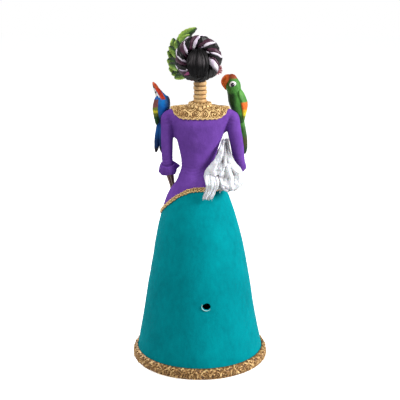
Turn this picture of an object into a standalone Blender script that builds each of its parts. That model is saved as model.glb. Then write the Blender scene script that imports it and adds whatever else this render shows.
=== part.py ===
"""A papier-mache catrina: a skeleton lady in a long dress, with a bird on each shoulder.

The figure stands on its skirt. +Z is up, the origin is the middle of the foot, the face looks
along -Y and the figure's left arm is at +X. All lengths are in metres.
"""

import math

import bmesh
import bpy
from mathutils import Matrix, Vector

# ---------------------------------------------------------------- driving dimensions
GAP = 0.0003  # air between two pieces that touch
WALL = 0.0030  # paper shell of the skirt and the bodice
SIDES = 36  # points round the body

# Rings up the body: height, half width, depth to the front, depth to the back, lean to the left.
BODY_RINGS = (
    (0.0000, 0.0770, 0.0770, 0.0770, 0.0000),
    (0.0620, 0.0658, 0.0655, 0.0655, 0.0010),
    (0.1230, 0.0555, 0.0550, 0.0550, 0.0008),
    (0.1660, 0.0465, 0.0450, 0.0455, 0.0018),
    (0.1900, 0.0392, 0.0370, 0.0385, 0.0023),
    (0.2090, 0.0315, 0.0285, 0.0315, 0.0028),
    (0.2210, 0.0238, 0.0215, 0.0235, 0.0034),
    (0.2340, 0.0180, 0.0155, 0.0155, 0.0032),
    (0.2500, 0.0212, 0.0172, 0.0155, 0.0017),
    (0.2660, 0.0258, 0.0208, 0.0172, 0.0010),
    (0.2810, 0.0310, 0.0210, 0.0178, 0.0004),
    (0.2900, 0.0352, 0.0185, 0.0162, 0.0000),
    (0.2965, 0.0374, 0.0150, 0.0135, 0.0000),
    (0.3005, 0.0342, 0.0115, 0.0110, 0.0000),
    (0.3022, 0.0215, 0.0100, 0.0098, 0.0000),
    (0.3028, 0.0100, 0.0092, 0.0092, 0.0000),
)
TOP_RING = len(BODY_RINGS) - 1

SEAM_HEIGHT = 0.1965  # mean height of the slanting line between the bodice and the skirt
SEAM_WAVES = ((-0.0116, 0.0137), (-0.0031, 0.0024), (-0.0018, 0.0008))  # its (cosine, sine) sways
HEM_HEIGHT, HEM_RADIUS = 0.0125, 0.0812
VENT_X, VENT_HEIGHT, VENT_RADIUS = -0.0074, 0.0830, 0.0048
DISC_THICKNESS = 0.0030
WAIST_DISC_HEIGHT = 0.1370
ROD_RADIUS, ROD_TOP = 0.0030, 0.3560
WIRE_RADIUS = 0.0010
TRIM_WIDTH, TRIM_THICKNESS = 0.0044, 0.0014

NECK_FOOT, NECK_TOP, VERTEBRAE = 0.3032, 0.3370, 7
NECK_RADIUS = 0.0076

SKULL_CENTRE = Vector((0.0010, -0.0010, 0.3585))
SKULL_RADII = Vector((0.0195, 0.0225, 0.0198))
HAIR_THICKNESS = 0.0030
BUN_CENTRE, BUN_RADII = Vector((0.0025, 0.0270, 0.3565)), Vector((0.0135, 0.0105, 0.0150))
BRAID_CENTRE, BRAID_RADIUS, BRAID_THICKNESS = Vector((0.0018, 0.0195, 0.3600)), 0.0190, 0.0060

SHOULDER_LEFT, SHOULDER_RIGHT = Vector((0.0355, 0, 0.2962)), Vector((-0.0355, 0, 0.2962))
ELBOW_LEFT, ELBOW_RIGHT = Vector((0.0378, -0.0015, 0.2370)), Vector((-0.0458, -0.0020, 0.2372))
WRIST_LEFT, WRIST_RIGHT = Vector((0.0318, -0.0290, 0.1975)), Vector((-0.0392, -0.0330, 0.2205))
CUFF_LEFT, CUFF_RIGHT = Vector((-0.05, -0.42, -1.0)), Vector((0.05, -0.80, -0.72))  # ways they open


# ---------------------------------------------------------------- scene and mesh helpers
def clear_scene():
    for item in list(bpy.data.objects):
        bpy.data.objects.remove(item)


def paint(name, colour, roughness=0.7, metallic=0.0):
    """A painted surface, by its name."""
    material = bpy.data.materials.get(name)
    if material is None:
        material = bpy.data.materials.new(name)
        material.use_nodes = True
        shader = material.node_tree.nodes["Principled BSDF"]
        shader.inputs["Base Color"].default_value = (*colour, 1.0)
        shader.inputs["Roughness"].default_value = roughness
        shader.inputs["Metallic"].default_value = metallic
    return material


TEAL = ("teal_paint", (0.0, 0.42, 0.45), 0.75)
PURPLE = ("purple_paint", (0.16, 0.04, 0.36), 0.75)
GOLD = ("gold_paint", (0.55, 0.36, 0.12), 0.45, 0.6)
BONE = ("bone_paint", (0.62, 0.42, 0.20), 0.6)
SKULL_WHITE = ("skull_paint", (0.78, 0.72, 0.60), 0.55)
HAIR_BLACK = ("hair_paint", (0.012, 0.010, 0.011), 0.35)
RIBBON = ("ribbon_paint", (0.30, 0.12, 0.30), 0.5)
LEAF_GREEN = ("leaf_paint", (0.05, 0.24, 0.03), 0.6)
PETAL_PINK = ("pink_paint", (0.62, 0.06, 0.18), 0.6)
PETAL_RED = ("red_paint", (0.50, 0.03, 0.02), 0.6)
PETAL_ORANGE = ("orange_paint", (0.80, 0.22, 0.03), 0.6)
MACAW_BLUE = ("blue_paint", (0.01, 0.10, 0.40), 0.5)
PARROT_GREEN = ("green_paint", (0.05, 0.22, 0.04), 0.5)
BEAK_RED = ("beak_paint", (0.65, 0.08, 0.02), 0.45)
CARD = ("cardboard", (0.42, 0.30, 0.18), 0.9)
WOOD = ("wood", (0.50, 0.34, 0.18), 0.8)
STEEL = ("steel_wire", (0.45, 0.45, 0.45), 0.4, 1.0)
NEWSPRINT = ("wadded_newspaper", (0.50, 0.48, 0.43), 0.95)
GAUZE = ("white_gauze", (0.85, 0.85, 0.84), 0.9)


def finish_mesh(name, body, colour, smooth_angle=40):
    """Turns a bmesh into a named object with its paint on."""
    bmesh.ops.recalc_face_normals(body, faces=body.faces)
    mesh = bpy.data.meshes.new(name)
    body.to_mesh(mesh)
    body.free()
    mesh.shade_smooth()
    mesh.set_sharp_from_angle(angle=math.radians(smooth_angle))
    mesh.materials.append(paint(*colour))
    piece = bpy.data.objects.new(name, mesh)
    bpy.context.scene.collection.objects.link(piece)
    return piece


def loft(name, rings, colour, closed=False):
    """Skins a row of rings into one closed body. A ring of one point is a pole, an end ring is
    capped flat, and with closed the last ring joins the first, which makes a shell or a torus."""
    body = bmesh.new()
    rows = [[body.verts.new(point) for point in ring] for ring in rings]
    pairs = list(zip(rows, rows[1:]))
    if closed:
        pairs.append((rows[-1], rows[0]))
    for low, high in pairs:
        count = max(len(low), len(high))
        for i in range(count):
            j = (i + 1) % count
            corners = [low[i % len(low)], low[j % len(low)], high[j % len(high)], high[i % len(high)]]
            body.faces.new(list(dict.fromkeys(corners)))
    if not closed:
        for end in (rows[0], rows[-1]):
            if len(end) > 1:
                body.faces.new(end)
    return finish_mesh(name, body, colour)


def circle(centre, radius, count, normal=Vector((0, 0, 1)), start=Vector((1, 0, 0)), second=None):
    """Points round a circle, or round an ellipse when second is its other radius."""
    across = (start - normal * start.dot(normal)).normalized()
    along = normal.normalized().cross(across)
    second = radius if second is None else second
    turn = 2 * math.pi / count
    return [
        centre + across * radius * math.cos(i * turn) + along * second * math.sin(i * turn)
        for i in range(count)
    ]


def turned(name, profile, colour, count=24, closed=False, centre=Vector()):
    """A body turned about the vertical through centre, from (radius, height) points."""
    rings = []
    for radius, height in profile:
        middle = centre + Vector((0, 0, height))
        rings.append([middle] if radius == 0 else circle(middle, radius, count))
    return loft(name, rings, colour, closed)


def pipe_rings(path, radii, count=10, start=Vector((1, 0.2, 0)), flat=1.0):
    """Rings square to a path. flat squeezes each ring across its start direction."""
    rings = []
    for i, point in enumerate(path):
        before, after = path[max(i - 1, 0)], path[min(i + 1, len(path) - 1)]
        normal = (after - before).normalized()
        rings.append(circle(point, radii[i], count, normal, start, radii[i] * flat))
    return rings


def pipe(name, path, radii, colour, count=10, start=Vector((1, 0.2, 0)), flat=1.0):
    """A tapering bar along a path with rounded ends."""
    ends = []
    for tip, inner, radius in ((path[0], path[1], radii[0]), (path[-1], path[-2], radii[-1])):
        ends.append([tip + (tip - inner).normalized() * radius * 0.6])
    return loft(name, [ends[0], *pipe_rings(path, radii, count, start, flat), ends[1]], colour)


def ball(name, centre, radii, colour, tilt=Matrix(), segments=20, rings=12):
    """An ellipsoid with its own turn about its centre."""
    body = bmesh.new()
    bmesh.ops.create_uvsphere(body, u_segments=segments, v_segments=rings, radius=1.0)
    place = Matrix.Translation(centre) @ tilt.to_4x4() @ Matrix.Diagonal((*radii, 1.0))
    bmesh.ops.transform(body, matrix=place, verts=body.verts)
    return finish_mesh(name, body, colour)


def box(name, low, high, colour):
    body = bmesh.new()
    bmesh.ops.create_cube(body, size=1.0)
    low, high = Vector(low), Vector(high)
    place = Matrix.Translation((low + high) / 2) @ Matrix.Diagonal((*(high - low), 1.0))
    bmesh.ops.transform(body, matrix=place, verts=body.verts)
    return finish_mesh(name, body, colour)


def helper(piece):
    """Marks a body that only shapes others, so that it is no part of the figure."""
    piece.hide_render = True
    piece.display_type = "WIRE"
    return piece


def boolean(piece, other, operation):
    cut = piece.modifiers.new(operation.lower() + " " + other.name, "BOOLEAN")
    cut.operation = operation
    cut.object = other


def carve(piece, *neighbours, gap=1.2 * GAP):
    """Makes room in a piece for its neighbours as they are now, with a gap all round."""
    for neighbour in neighbours:
        tool = helper(bpy.data.objects.new("room for " + neighbour.name, neighbour.data.copy()))
        bpy.context.scene.collection.objects.link(tool)
        swell = tool.modifiers.new("gap", "DISPLACE")
        swell.strength = gap
        swell.mid_level = 0.0
        boolean(piece, tool, "DIFFERENCE")
    return piece


def add_to(piece, *others):
    """Joins helpers to a piece, so that they make one body."""
    for other in others:
        boolean(piece, helper(other), "UNION")
    return piece


# ---------------------------------------------------------------- the body's form
def slope(before, here, after):
    """Slope at a ring that never overshoots: none at a turning point."""
    rise, next_rise = here - before, after - here
    if rise * next_rise <= 0:
        return 0.0
    return 2 * rise * next_rise / (rise + next_rise)


def between(values, place):
    """Smooth value at a place along a row of values, where place 2.5 lies midway from 2 to 3."""
    last = len(values) - 1
    i = min(max(int(place), 0), last - 1)
    t = place - i
    a, b = values[i], values[i + 1]
    slope_a = slope(values[i - 1], a, b) if i > 0 else b - a
    slope_b = slope(a, b, values[i + 2]) if i + 2 <= last else b - a
    return (
        a * (2 * t**3 - 3 * t**2 + 1)
        + b * (3 * t**2 - 2 * t**3)
        + slope_a * (t**3 - 2 * t**2 + t)
        + slope_b * (t**3 - t**2)
    )


RING_VALUES = list(zip(*BODY_RINGS))


def surface(place, angle):
    """Point on the dress at a place up the rings and an angle from +X round to the back."""
    height, width, front, back, lean = (between(values, place) for values in RING_VALUES)
    depth = back if math.sin(angle) > 0 else front
    return Vector((lean + width * math.cos(angle), depth * math.sin(angle), height))


def surface_out(place, angle, offset):
    """The surface point moved out square to the surface, or in with a negative offset."""
    step = 0.02
    up = surface(min(place + step, TOP_RING), angle) - surface(max(place - step, 0), angle)
    round_ = surface(place, angle + step) - surface(place, angle - step)
    return surface(place, angle) + round_.cross(up).normalized() * offset


def place_at(height):
    """The place up the rings at a height."""
    low, high = 0.0, float(TOP_RING)
    for _ in range(40):
        middle = (low + high) / 2
        if between(RING_VALUES[0], middle) < height:
            low = middle
        else:
            high = middle
    return (low + high) / 2


def seam_height(angle):
    """The slanting line round the hips: low at the left front, high at the right back."""
    height = SEAM_HEIGHT
    for times, (cosine, sine) in enumerate(SEAM_WAVES, 1):
        height += cosine * math.cos(times * angle) + sine * math.sin(times * angle)
    return height


ANGLES = [2 * math.pi * i / SIDES for i in range(SIDES)]


def dress_rings(low, high, steps, offset):
    """Rings on the dress, where low and high give the first and the last place at an angle."""
    rings = []
    for k in range(steps + 1):
        share = k / steps
        ring = [surface_out(low(a) * (1 - share) + high(a) * share, a, offset) for a in ANGLES]
        rings.append([Vector((point.x, point.y, max(point.z, 0.0))) for point in ring])
    return rings


def dress_shell(name, low, high, steps, inside, outside, colour):
    """A paper shell between two offsets from the dress surface."""
    outer = dress_rings(low, high, steps, outside)
    inner = dress_rings(low, high, steps, inside)
    return loft(name, outer + inner[::-1], colour, closed=True)


# ---------------------------------------------------------------- skirt and base
def make_skirt():
    top = lambda angle: place_at(seam_height(angle) - GAP)
    skirt = dress_shell("skirt_shell", lambda angle: 0.0, top, 7, -WALL, 0.0, TEAL)
    depth = surface(place_at(VENT_HEIGHT), math.pi / 2).y
    middle = Vector((VENT_X, depth, VENT_HEIGHT))
    reach = Vector((0, 4 * WALL, 0))
    rings = [circle(middle + side * reach, VENT_RADIUS, 20, Vector((0, 1, 0))) for side in (-1, 1)]
    boolean(skirt, helper(loft("vent cutter", rings, TEAL)), "DIFFERENCE")
    return skirt


def make_hem():
    """The lace band round the foot: its inside follows the skirt and its outside bulges."""
    inner, outer = [], []
    for share in (0.0, 0.5, 1.0):
        place = place_at(HEM_HEIGHT * share)
        inner.append([surface_out(place, a, GAP) for a in ANGLES])
    for share, inset in ((0.0, 0.0006), (0.3, 0.0), (0.7, 0.0012), (1.0, 0.0040)):
        outer.append(circle(Vector((0, 0, HEM_HEIGHT * share)), HEM_RADIUS - inset, SIDES))
    for point in inner[0]:
        point.z = 0.0
    return loft("hem_trim", outer + inner[::-1], GOLD, closed=True)


def make_base():
    inside = BODY_RINGS[0][1] - WALL - 2 * GAP
    rim = ((0, 0), (inside, 0), (inside - 0.0008, DISC_THICKNESS), (0, DISC_THICKNESS))
    turned("base_disc", rim, CARD, SIDES)
    foot = DISC_THICKNESS + GAP
    bore = ROD_RADIUS + GAP
    block = ((bore, foot), (0.013, foot), (0.013, foot + 0.010), (0.009, foot + 0.014), (bore, foot + 0.014))
    turned("rod_block", block, WOOD, 20, closed=True)
    edge = -surface(place_at(WAIST_DISC_HEIGHT), math.pi).x - WALL - 0.0020
    top = WAIST_DISC_HEIGHT + DISC_THICKNESS
    ring = ((bore, WAIST_DISC_HEIGHT), (edge, WAIST_DISC_HEIGHT), (edge - 0.0006, top), (bore, top))
    turned("waist_disc", ring, CARD, 32, closed=True)
    rod = ((0, foot), (ROD_RADIUS, foot), (ROD_RADIUS, ROD_TOP), (0, ROD_TOP))
    return turned("spine_rod", rod, WOOD, 12)


# ---------------------------------------------------------------- bodice
def make_bodice(rod):
    """The shell from the seam to the neck, its wadding, and its outer form as a helper."""
    low = lambda angle: place_at(seam_height(angle) + GAP)
    high = lambda angle: TOP_RING - 0.02
    shell = dress_shell("bodice_shell", low, high, 11, -WALL * 0.7, 0.0, PURPLE)
    form = helper(loft("torso form", dress_rings(low, high, 11, 0.0), PURPLE))
    core_low, core_high = place_at(0.2250), place_at(0.2900)
    rings = []
    for k in range(8):
        place = core_low + (core_high - core_low) * k / 7
        rings.append([surface_out(place, a, -WALL * 0.7 - 4 * GAP) for a in ANGLES[::2]])
    core = loft("torso_core", rings, NEWSPRINT)
    carve(core, rod)
    return shell, core, form


def make_waist_trim():
    """The flat gold lace over the seam."""
    count = 54
    angles = [2 * math.pi * i / count for i in range(count)]
    places = [place_at(seam_height(angle)) for angle in angles]
    lift = TRIM_THICKNESS / 2 + 2 * GAP
    middles = [surface_out(place, angle, lift) for place, angle in zip(places, angles)]
    rings = []
    for i, (place, angle) in enumerate(zip(places, angles)):
        along = (middles[(i + 1) % count] - middles[i - 1]).normalized()
        up = surface(place + 0.05, angle) - surface(place - 0.05, angle)
        rings.append(circle(middles[i], TRIM_WIDTH / 2, 6, along, up, TRIM_THICKNESS / 2))
    return loft("waist_trim", rings, GOLD, closed=True)


def yoke_edge(angle):
    """Lower edge of the lace yoke: it stops short of the shoulders and dips between them."""
    reach = abs(math.sin(angle))
    share = min(max((reach - 0.45) / 0.40, 0.0), 1.0)
    dip = 0.0107 if math.sin(angle) > 0 else 0.0135
    return 0.3012 - dip * (0.85 * share**2 * (3 - 2 * share) + 0.15 * reach)


def make_yoke():
    """The lace shell, and its outer form as a helper."""
    low = lambda angle: place_at(yoke_edge(angle))
    high = lambda angle: TOP_RING - 0.35
    form = helper(loft("yoke form", dress_rings(low, high, 5, 0.0023), GOLD))
    return dress_shell("lace_yoke", low, high, 5, 3 * GAP, 0.0023, GOLD), form


def place_at_reach(angle, reach):
    """The place near the top where the dress is this far from its axis."""
    low, high = TOP_RING - 5.0, float(TOP_RING)
    for _ in range(40):
        middle = (low + high) / 2
        if surface(middle, angle).xy.length > reach:
            low = middle
        else:
            high = middle
    return (low + high) / 2


def make_frill():
    """The raised lace ring that lies on the yoke round the foot of the neck."""
    inside = NECK_RADIUS + 2 * GAP
    rings = [circle(Vector((0, 0, height)), inside, SIDES) for height in (0.3060, 0.3076)]
    for reach, lift in ((0.0105, 0.0061), (0.0126, 0.0053), (0.0133, 0.0032), (0.0106, 0.0034)):
        rings.append([surface_out(place_at_reach(a, reach), a, lift) for a in ANGLES])
    return loft("neck_frill", rings, GOLD, closed=True)


# ---------------------------------------------------------------- arms
def arm_path(shoulder, elbow, bulge, cuff_way):
    """From the shoulder's rounded top down to the elbow, where the arm turns the cuff's way."""
    out = 1 if shoulder.x > 0 else -1
    return [
        shoulder + Vector((-0.0005 * out, 0, 0.0012)),
        shoulder + Vector((0.0024 * out, 0, -0.0035)),
        shoulder.lerp(elbow, 0.22) + Vector((bulge * out, 0, 0)),
        shoulder.lerp(elbow, 0.55) + Vector((bulge * 0.9 * out, 0, 0)),
        shoulder.lerp(elbow, 0.82) + Vector((bulge * 0.5 * out, 0, 0)),
        elbow,
        elbow + cuff_way.normalized() * 0.0060,
    ]


def make_sleeve(name, shoulder, elbow, bulge, cuff_way, radii, torso):
    sleeve = pipe(name, arm_path(shoulder, elbow, bulge, cuff_way), radii, PURPLE, count=14)
    return carve(sleeve, torso)


def frill_rings(foot, direction, start_radius, end_radius, length, lobes, wave, dip, grow, count=30, steps=3):
    """Rings of a bell that opens along a direction and ripples towards its edge."""
    direction = direction.normalized()
    across = direction.orthogonal().normalized()
    along = direction.cross(across)
    rings = []
    for k in range(steps + 1):
        share = k / steps
        ring = []
        for i in range(count):
            angle = 2 * math.pi * i / count
            ripple = math.sin(lobes * angle) * share
            radius = start_radius + (end_radius - start_radius) * share**0.7 + wave * ripple + grow
            reach = length * share + dip * math.cos(lobes * angle + 1.0) * share
            ring.append(foot + direction * reach + (across * math.cos(angle) + along * math.sin(angle)) * radius)
        rings.append(ring)
    return rings


def make_cuff(name, foot, sleeve_radius, direction, end_radius, length, torso):
    """A rippled bell of painted paper round the end of a sleeve."""
    shape = dict(start_radius=sleeve_radius, end_radius=end_radius, length=length, lobes=5, wave=0.0020,
                 dip=0.0022)
    inner = frill_rings(foot, direction, grow=2 * GAP, **shape)
    outer = frill_rings(foot, direction, grow=2 * GAP + 0.0012, **shape)
    return carve(loft(name, outer + inner[::-1], PURPLE, closed=True), torso)


def make_forearm(name, elbow, wrist, radius, sleeve):
    along = (wrist - elbow).normalized()
    length = (wrist - elbow).length
    path = [elbow + along * length * share for share in (0.04, 0.2, 0.5, 0.8, 0.97)]
    radii = [radius, radius * 1.02, radius * 0.86, radius * 0.78, radius * 0.92]
    return carve(pipe(name, path, radii, BONE, count=10), sleeve)


def make_hand(name, wrist, direction, palm_normal, curl, side, forearm):
    """A bone hand: a flat palm, four fingers and a thumb."""
    direction = direction.normalized()
    palm_normal = (palm_normal - direction * palm_normal.dot(direction)).normalized()
    across = direction.cross(palm_normal) * side
    start = wrist + direction * 0.0006
    palm_path = [start, start + direction * 0.0035, start + direction * 0.0075]
    hand = pipe(name, palm_path, [0.0022, 0.0036, 0.0037], BONE, 10, across, 0.42)
    for i, (spread, length) in enumerate(((-1.5, 0.0105), (-0.5, 0.0122), (0.5, 0.0118), (1.5, 0.0095))):
        root = start + direction * 0.0068 + across * spread * 0.0019
        aim = (direction + across * spread * 0.07).normalized()
        bend = palm_normal * curl
        path = [root, root + aim * length * 0.5 + bend * length * 0.12, root + aim * length * 0.92 + bend * length * 0.42]
        finger = pipe(f"{name} finger {i}", path, [0.00105, 0.00100, 0.00080], BONE, 8)
        add_to(hand, finger)
    root = start + direction * 0.0030 + across * -0.0030
    tip = root + direction * 0.0060 - across * 0.0042 + palm_normal * curl * 0.0015
    add_to(hand, pipe(f"{name} thumb", [root, root.lerp(tip, 0.5), tip], [0.00115, 0.00105, 0.00085], BONE, 8))
    return carve(hand, forearm)


def make_arm_wire():
    """One wire from forearm to forearm, up the sleeves and across the shoulders before the rod."""
    front = Vector((0, -(ROD_RADIUS + WIRE_RADIUS + 2 * GAP), 0))
    left_wrist = ELBOW_LEFT.lerp(WRIST_LEFT, 0.6)
    right_wrist = ELBOW_RIGHT.lerp(WRIST_RIGHT, 0.6)
    path = [
        left_wrist,
        ELBOW_LEFT.lerp(WRIST_LEFT, 0.1),
        ELBOW_LEFT + Vector((0.0002, 0, 0.0060)),
        SHOULDER_LEFT + Vector((0.0040, 0, -0.0170)),
        SHOULDER_LEFT + Vector((0.0005, -0.0010, -0.0040)),
        Vector((0.0200, 0, 0.2925)) + front * 0.7,
        Vector((0.0, 0, 0.2925)) + front,
        Vector((-0.0200, 0, 0.2925)) + front * 0.7,
        SHOULDER_RIGHT + Vector((-0.0005, -0.0010, -0.0040)),
        SHOULDER_RIGHT + Vector((-0.0045, 0, -0.0170)),
        ELBOW_RIGHT + Vector((0.0008, 0, 0.0060)),
        ELBOW_RIGHT.lerp(WRIST_RIGHT, 0.1),
        right_wrist,
    ]
    return pipe("arm_wire", path, [WIRE_RADIUS] * len(path), STEEL, 8, Vector((0.1, 1, 0.1)))


# ---------------------------------------------------------------- neck and head
def make_neck():
    pitch = (NECK_TOP - NECK_FOOT) / VERTEBRAE
    bore = ROD_RADIUS + GAP
    for i in range(VERTEBRAE):
        low, high = NECK_FOOT + i * pitch, NECK_FOOT + (i + 1) * pitch - GAP
        middle = (low + high) / 2
        rim = NECK_RADIUS - 0.0010
        profile = ((bore, low), (rim, low), (NECK_RADIUS - 0.0002, middle - 0.0008),
                   (NECK_RADIUS - 0.0002, middle + 0.0008), (rim, high), (bore, high))
        turned(f"vertebra_{i + 1}", profile, BONE, 16, closed=True)


def head_form(name, grow, colour):
    return ball(name, SKULL_CENTRE, SKULL_RADII + Vector((grow, grow, grow)), colour, segments=24, rings=16)


def make_skull(rod):
    """The braincase with the face below it, eye sockets and a nose opening."""
    skull = head_form("skull", 0.0, SKULL_WHITE)
    face_path = [Vector((0, -0.0085, z)) for z in (0.3600, 0.3520, 0.3455, 0.3415)]
    face = loft("face", [circle(p, r, 16, second=r * 0.95)
                         for p, r in zip(face_path, (0.0150, 0.0142, 0.0115, 0.0095))], SKULL_WHITE)
    add_to(skull, face)
    for side in (-1, 1):
        socket = ball("eye socket", Vector((side * 0.0074, -0.0230, 0.3580)), (0.0050, 0.0060, 0.0052),
                      SKULL_WHITE, segments=12, rings=8)
        boolean(skull, helper(socket), "DIFFERENCE")
    nose = ball("nose opening", Vector((0, -0.0238, 0.3505)), (0.0020, 0.0040, 0.0032), SKULL_WHITE,
                segments=10, rings=6)
    boolean(skull, helper(nose), "DIFFERENCE")
    below = box("neck seat", (-0.02, 0.0, 0.32), (0.02, 0.04, NECK_TOP + GAP), SKULL_WHITE)
    boolean(skull, helper(below), "DIFFERENCE")
    return carve(skull, rod)


def make_jaw(skull_form):
    path = [Vector(p) for p in (
        (0.0150, -0.0030, 0.3470), (0.0140, -0.0075, 0.3385), (0.0085, -0.0165, 0.3355),
        (0.0, -0.0195, 0.3350),
        (-0.0085, -0.0165, 0.3355), (-0.0140, -0.0075, 0.3385), (-0.0150, -0.0030, 0.3470))]
    jaw = pipe("jaw", path, [0.0020, 0.0026, 0.0029, 0.0031, 0.0029, 0.0026, 0.0020], SKULL_WHITE, 10,
               Vector((0, 0, 1)))
    return carve(jaw, skull_form)


def make_hair(skull, jaw):
    """Black hair: a cap combed back over the skull, cut away at the face and under the neck."""
    cap = head_form("hair_cap", HAIR_THICKNESS, HAIR_BLACK)
    carve(cap, skull, jaw)
    brow = SKULL_CENTRE + Vector((0, -0.0135, 0.0100))
    face_side = box("face side", (-0.04, -0.06, 0.30), (0.04, brow.y + 0.0150, brow.z), HAIR_BLACK)
    face_side.data.transform(Matrix.Translation(brow) @ Matrix.Rotation(math.radians(10), 4, "X")
                             @ Matrix.Translation(-brow))
    boolean(cap, helper(face_side), "DIFFERENCE")
    collar = turned("neck room", ((0, 0.32), (0.0092, 0.32), (0.0092, 0.3420), (0, 0.3420)), HAIR_BLACK, 16)
    boolean(cap, helper(collar), "DIFFERENCE")
    return cap


def make_bun_and_braid(cap_form):
    """The bun at the back of the head, and the ribboned braid wound round it."""
    bun = ball("hair_bun", BUN_CENTRE, BUN_RADII, HAIR_BLACK, segments=20, rings=12)
    rings = []
    count = 30
    for i in range(count):
        angle = 2 * math.pi * i / count
        out = Vector((math.cos(angle), 0, math.sin(angle)))
        along = Vector((-math.sin(angle), 0, math.cos(angle)))
        rings.append(circle(BRAID_CENTRE + out * BRAID_RADIUS, BRAID_THICKNESS, 10, along, out))
    braid = loft("ribbon_braid", rings, RIBBON, closed=True)
    carve(braid, cap_form)
    carve(bun, cap_form, braid)
    return bun, braid


# ---------------------------------------------------------------- flowers and leaves
FLOWERS = (  # name, direction from the middle of the skull, radius, colour
    ("rose_crown", Vector((0.05, -0.78, 0.66)), 0.0080, PETAL_RED),
    ("rose_left", Vector((0.62, -0.62, 0.46)), 0.0082, PETAL_PINK),
    ("rose_right", Vector((-0.60, -0.62, 0.48)), 0.0074, PETAL_ORANGE),
    ("rose_temple", Vector((0.93, -0.36, 0.00)), 0.0085, PETAL_ORANGE),
    ("rose_cheek", Vector((0.94, -0.05, -0.62)), 0.0068, PETAL_RED),
    ("rose_ear", Vector((-0.93, 0.10, -0.42)), 0.0062, PETAL_PINK),
)


def head_point(direction, lift):
    """A point off the skull in a direction from its middle."""
    direction = direction.normalized()
    scale = 1 / math.sqrt(sum((direction[k] / SKULL_RADII[k]) ** 2 for k in range(3)))
    return SKULL_CENTRE + direction * (scale + lift)


def make_flower(name, direction, radius, colour, neighbours):
    direction = direction.normalized()
    foot = head_point(direction, HAIR_THICKNESS * 0.5)
    shares = ((0.55, 0.0), (0.92, 0.18), (1.0, 0.38), (0.80, 0.62), (0.45, 0.78))
    rings = [circle(foot + direction * radius * rise, radius * size, 12, direction, Vector((0.1, 0.2, 1)))
             for size, rise in shares]
    flower = loft(name, [*rings, [foot + direction * radius * 0.84]], colour)
    return carve(flower, *neighbours)


LEAVES = (  # name, root and tip as (x, y, z), half width
    ("leaf_top", (0.0262, 0.0020, 0.3735), (0.0050, 0.0000, 0.3925), 0.0056),
    ("leaf_high", (0.0250, 0.0060, 0.3665), (0.0305, 0.0050, 0.3815), 0.0042),
    ("leaf_side", (0.0262, 0.0010, 0.3580), (0.0362, 0.0020, 0.3670), 0.0048),
    ("leaf_low", (0.0262, 0.0070, 0.3520), (0.0362, 0.0060, 0.3580), 0.0048),
    ("leaf_nape", (0.0262, 0.0040, 0.3455), (0.0350, 0.0050, 0.3480), 0.0046),
    ("leaf_foot", (0.0165, 0.0060, 0.3400), (0.0290, 0.0080, 0.3372), 0.0036),
)


def make_leaf(name, root, tip, half_width, neighbours):
    """A thick pointed leaf, widest a little past its middle."""
    root, tip = Vector(root), Vector(tip)
    shares = (0.04, 0.3, 0.6, 0.85, 0.97)
    widths = (0.45, 0.9, 1.0, 0.6, 0.25)
    path = [root.lerp(tip, share) for share in shares]
    leaf = loft(name, [[root], *pipe_rings(path, [half_width * w for w in widths], 8,
                                           Vector((0, 0.15, 1)).cross(tip - root).cross(tip - root), 0.25),
                       [tip]], LEAF_GREEN)
    return carve(leaf, *neighbours)


# ---------------------------------------------------------------- birds
def make_bird(name, spine, radii, beak, wings, tail, colours, seats):
    """A carved bird: its body and head are one piece, with a beak, two wings and a tail set on."""
    body_colour, beak_colour = colours
    body = pipe(f"{name}_body", [Vector(p) for p in spine], radii, body_colour, 14)
    carve(body, *seats)
    beak_path, beak_radii = beak
    carve(pipe(f"{name}_beak", [Vector(p) for p in beak_path], beak_radii, beak_colour, 8), body)
    for wing_name, wing_path, wing_radii, broad in wings:
        wing = pipe(f"{name}_{wing_name}", [Vector(p) for p in wing_path], wing_radii, body_colour, 10,
                    Vector(broad), 0.30)
        seats = (*seats, carve(wing, body, *seats))
    tail_path, tail_radii = tail
    carve(pipe(f"{name}_tail", [Vector(p) for p in tail_path], tail_radii, body_colour, 10,
               Vector((1, 0.3, 0)), 0.42), body, *seats)
    return body


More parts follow.
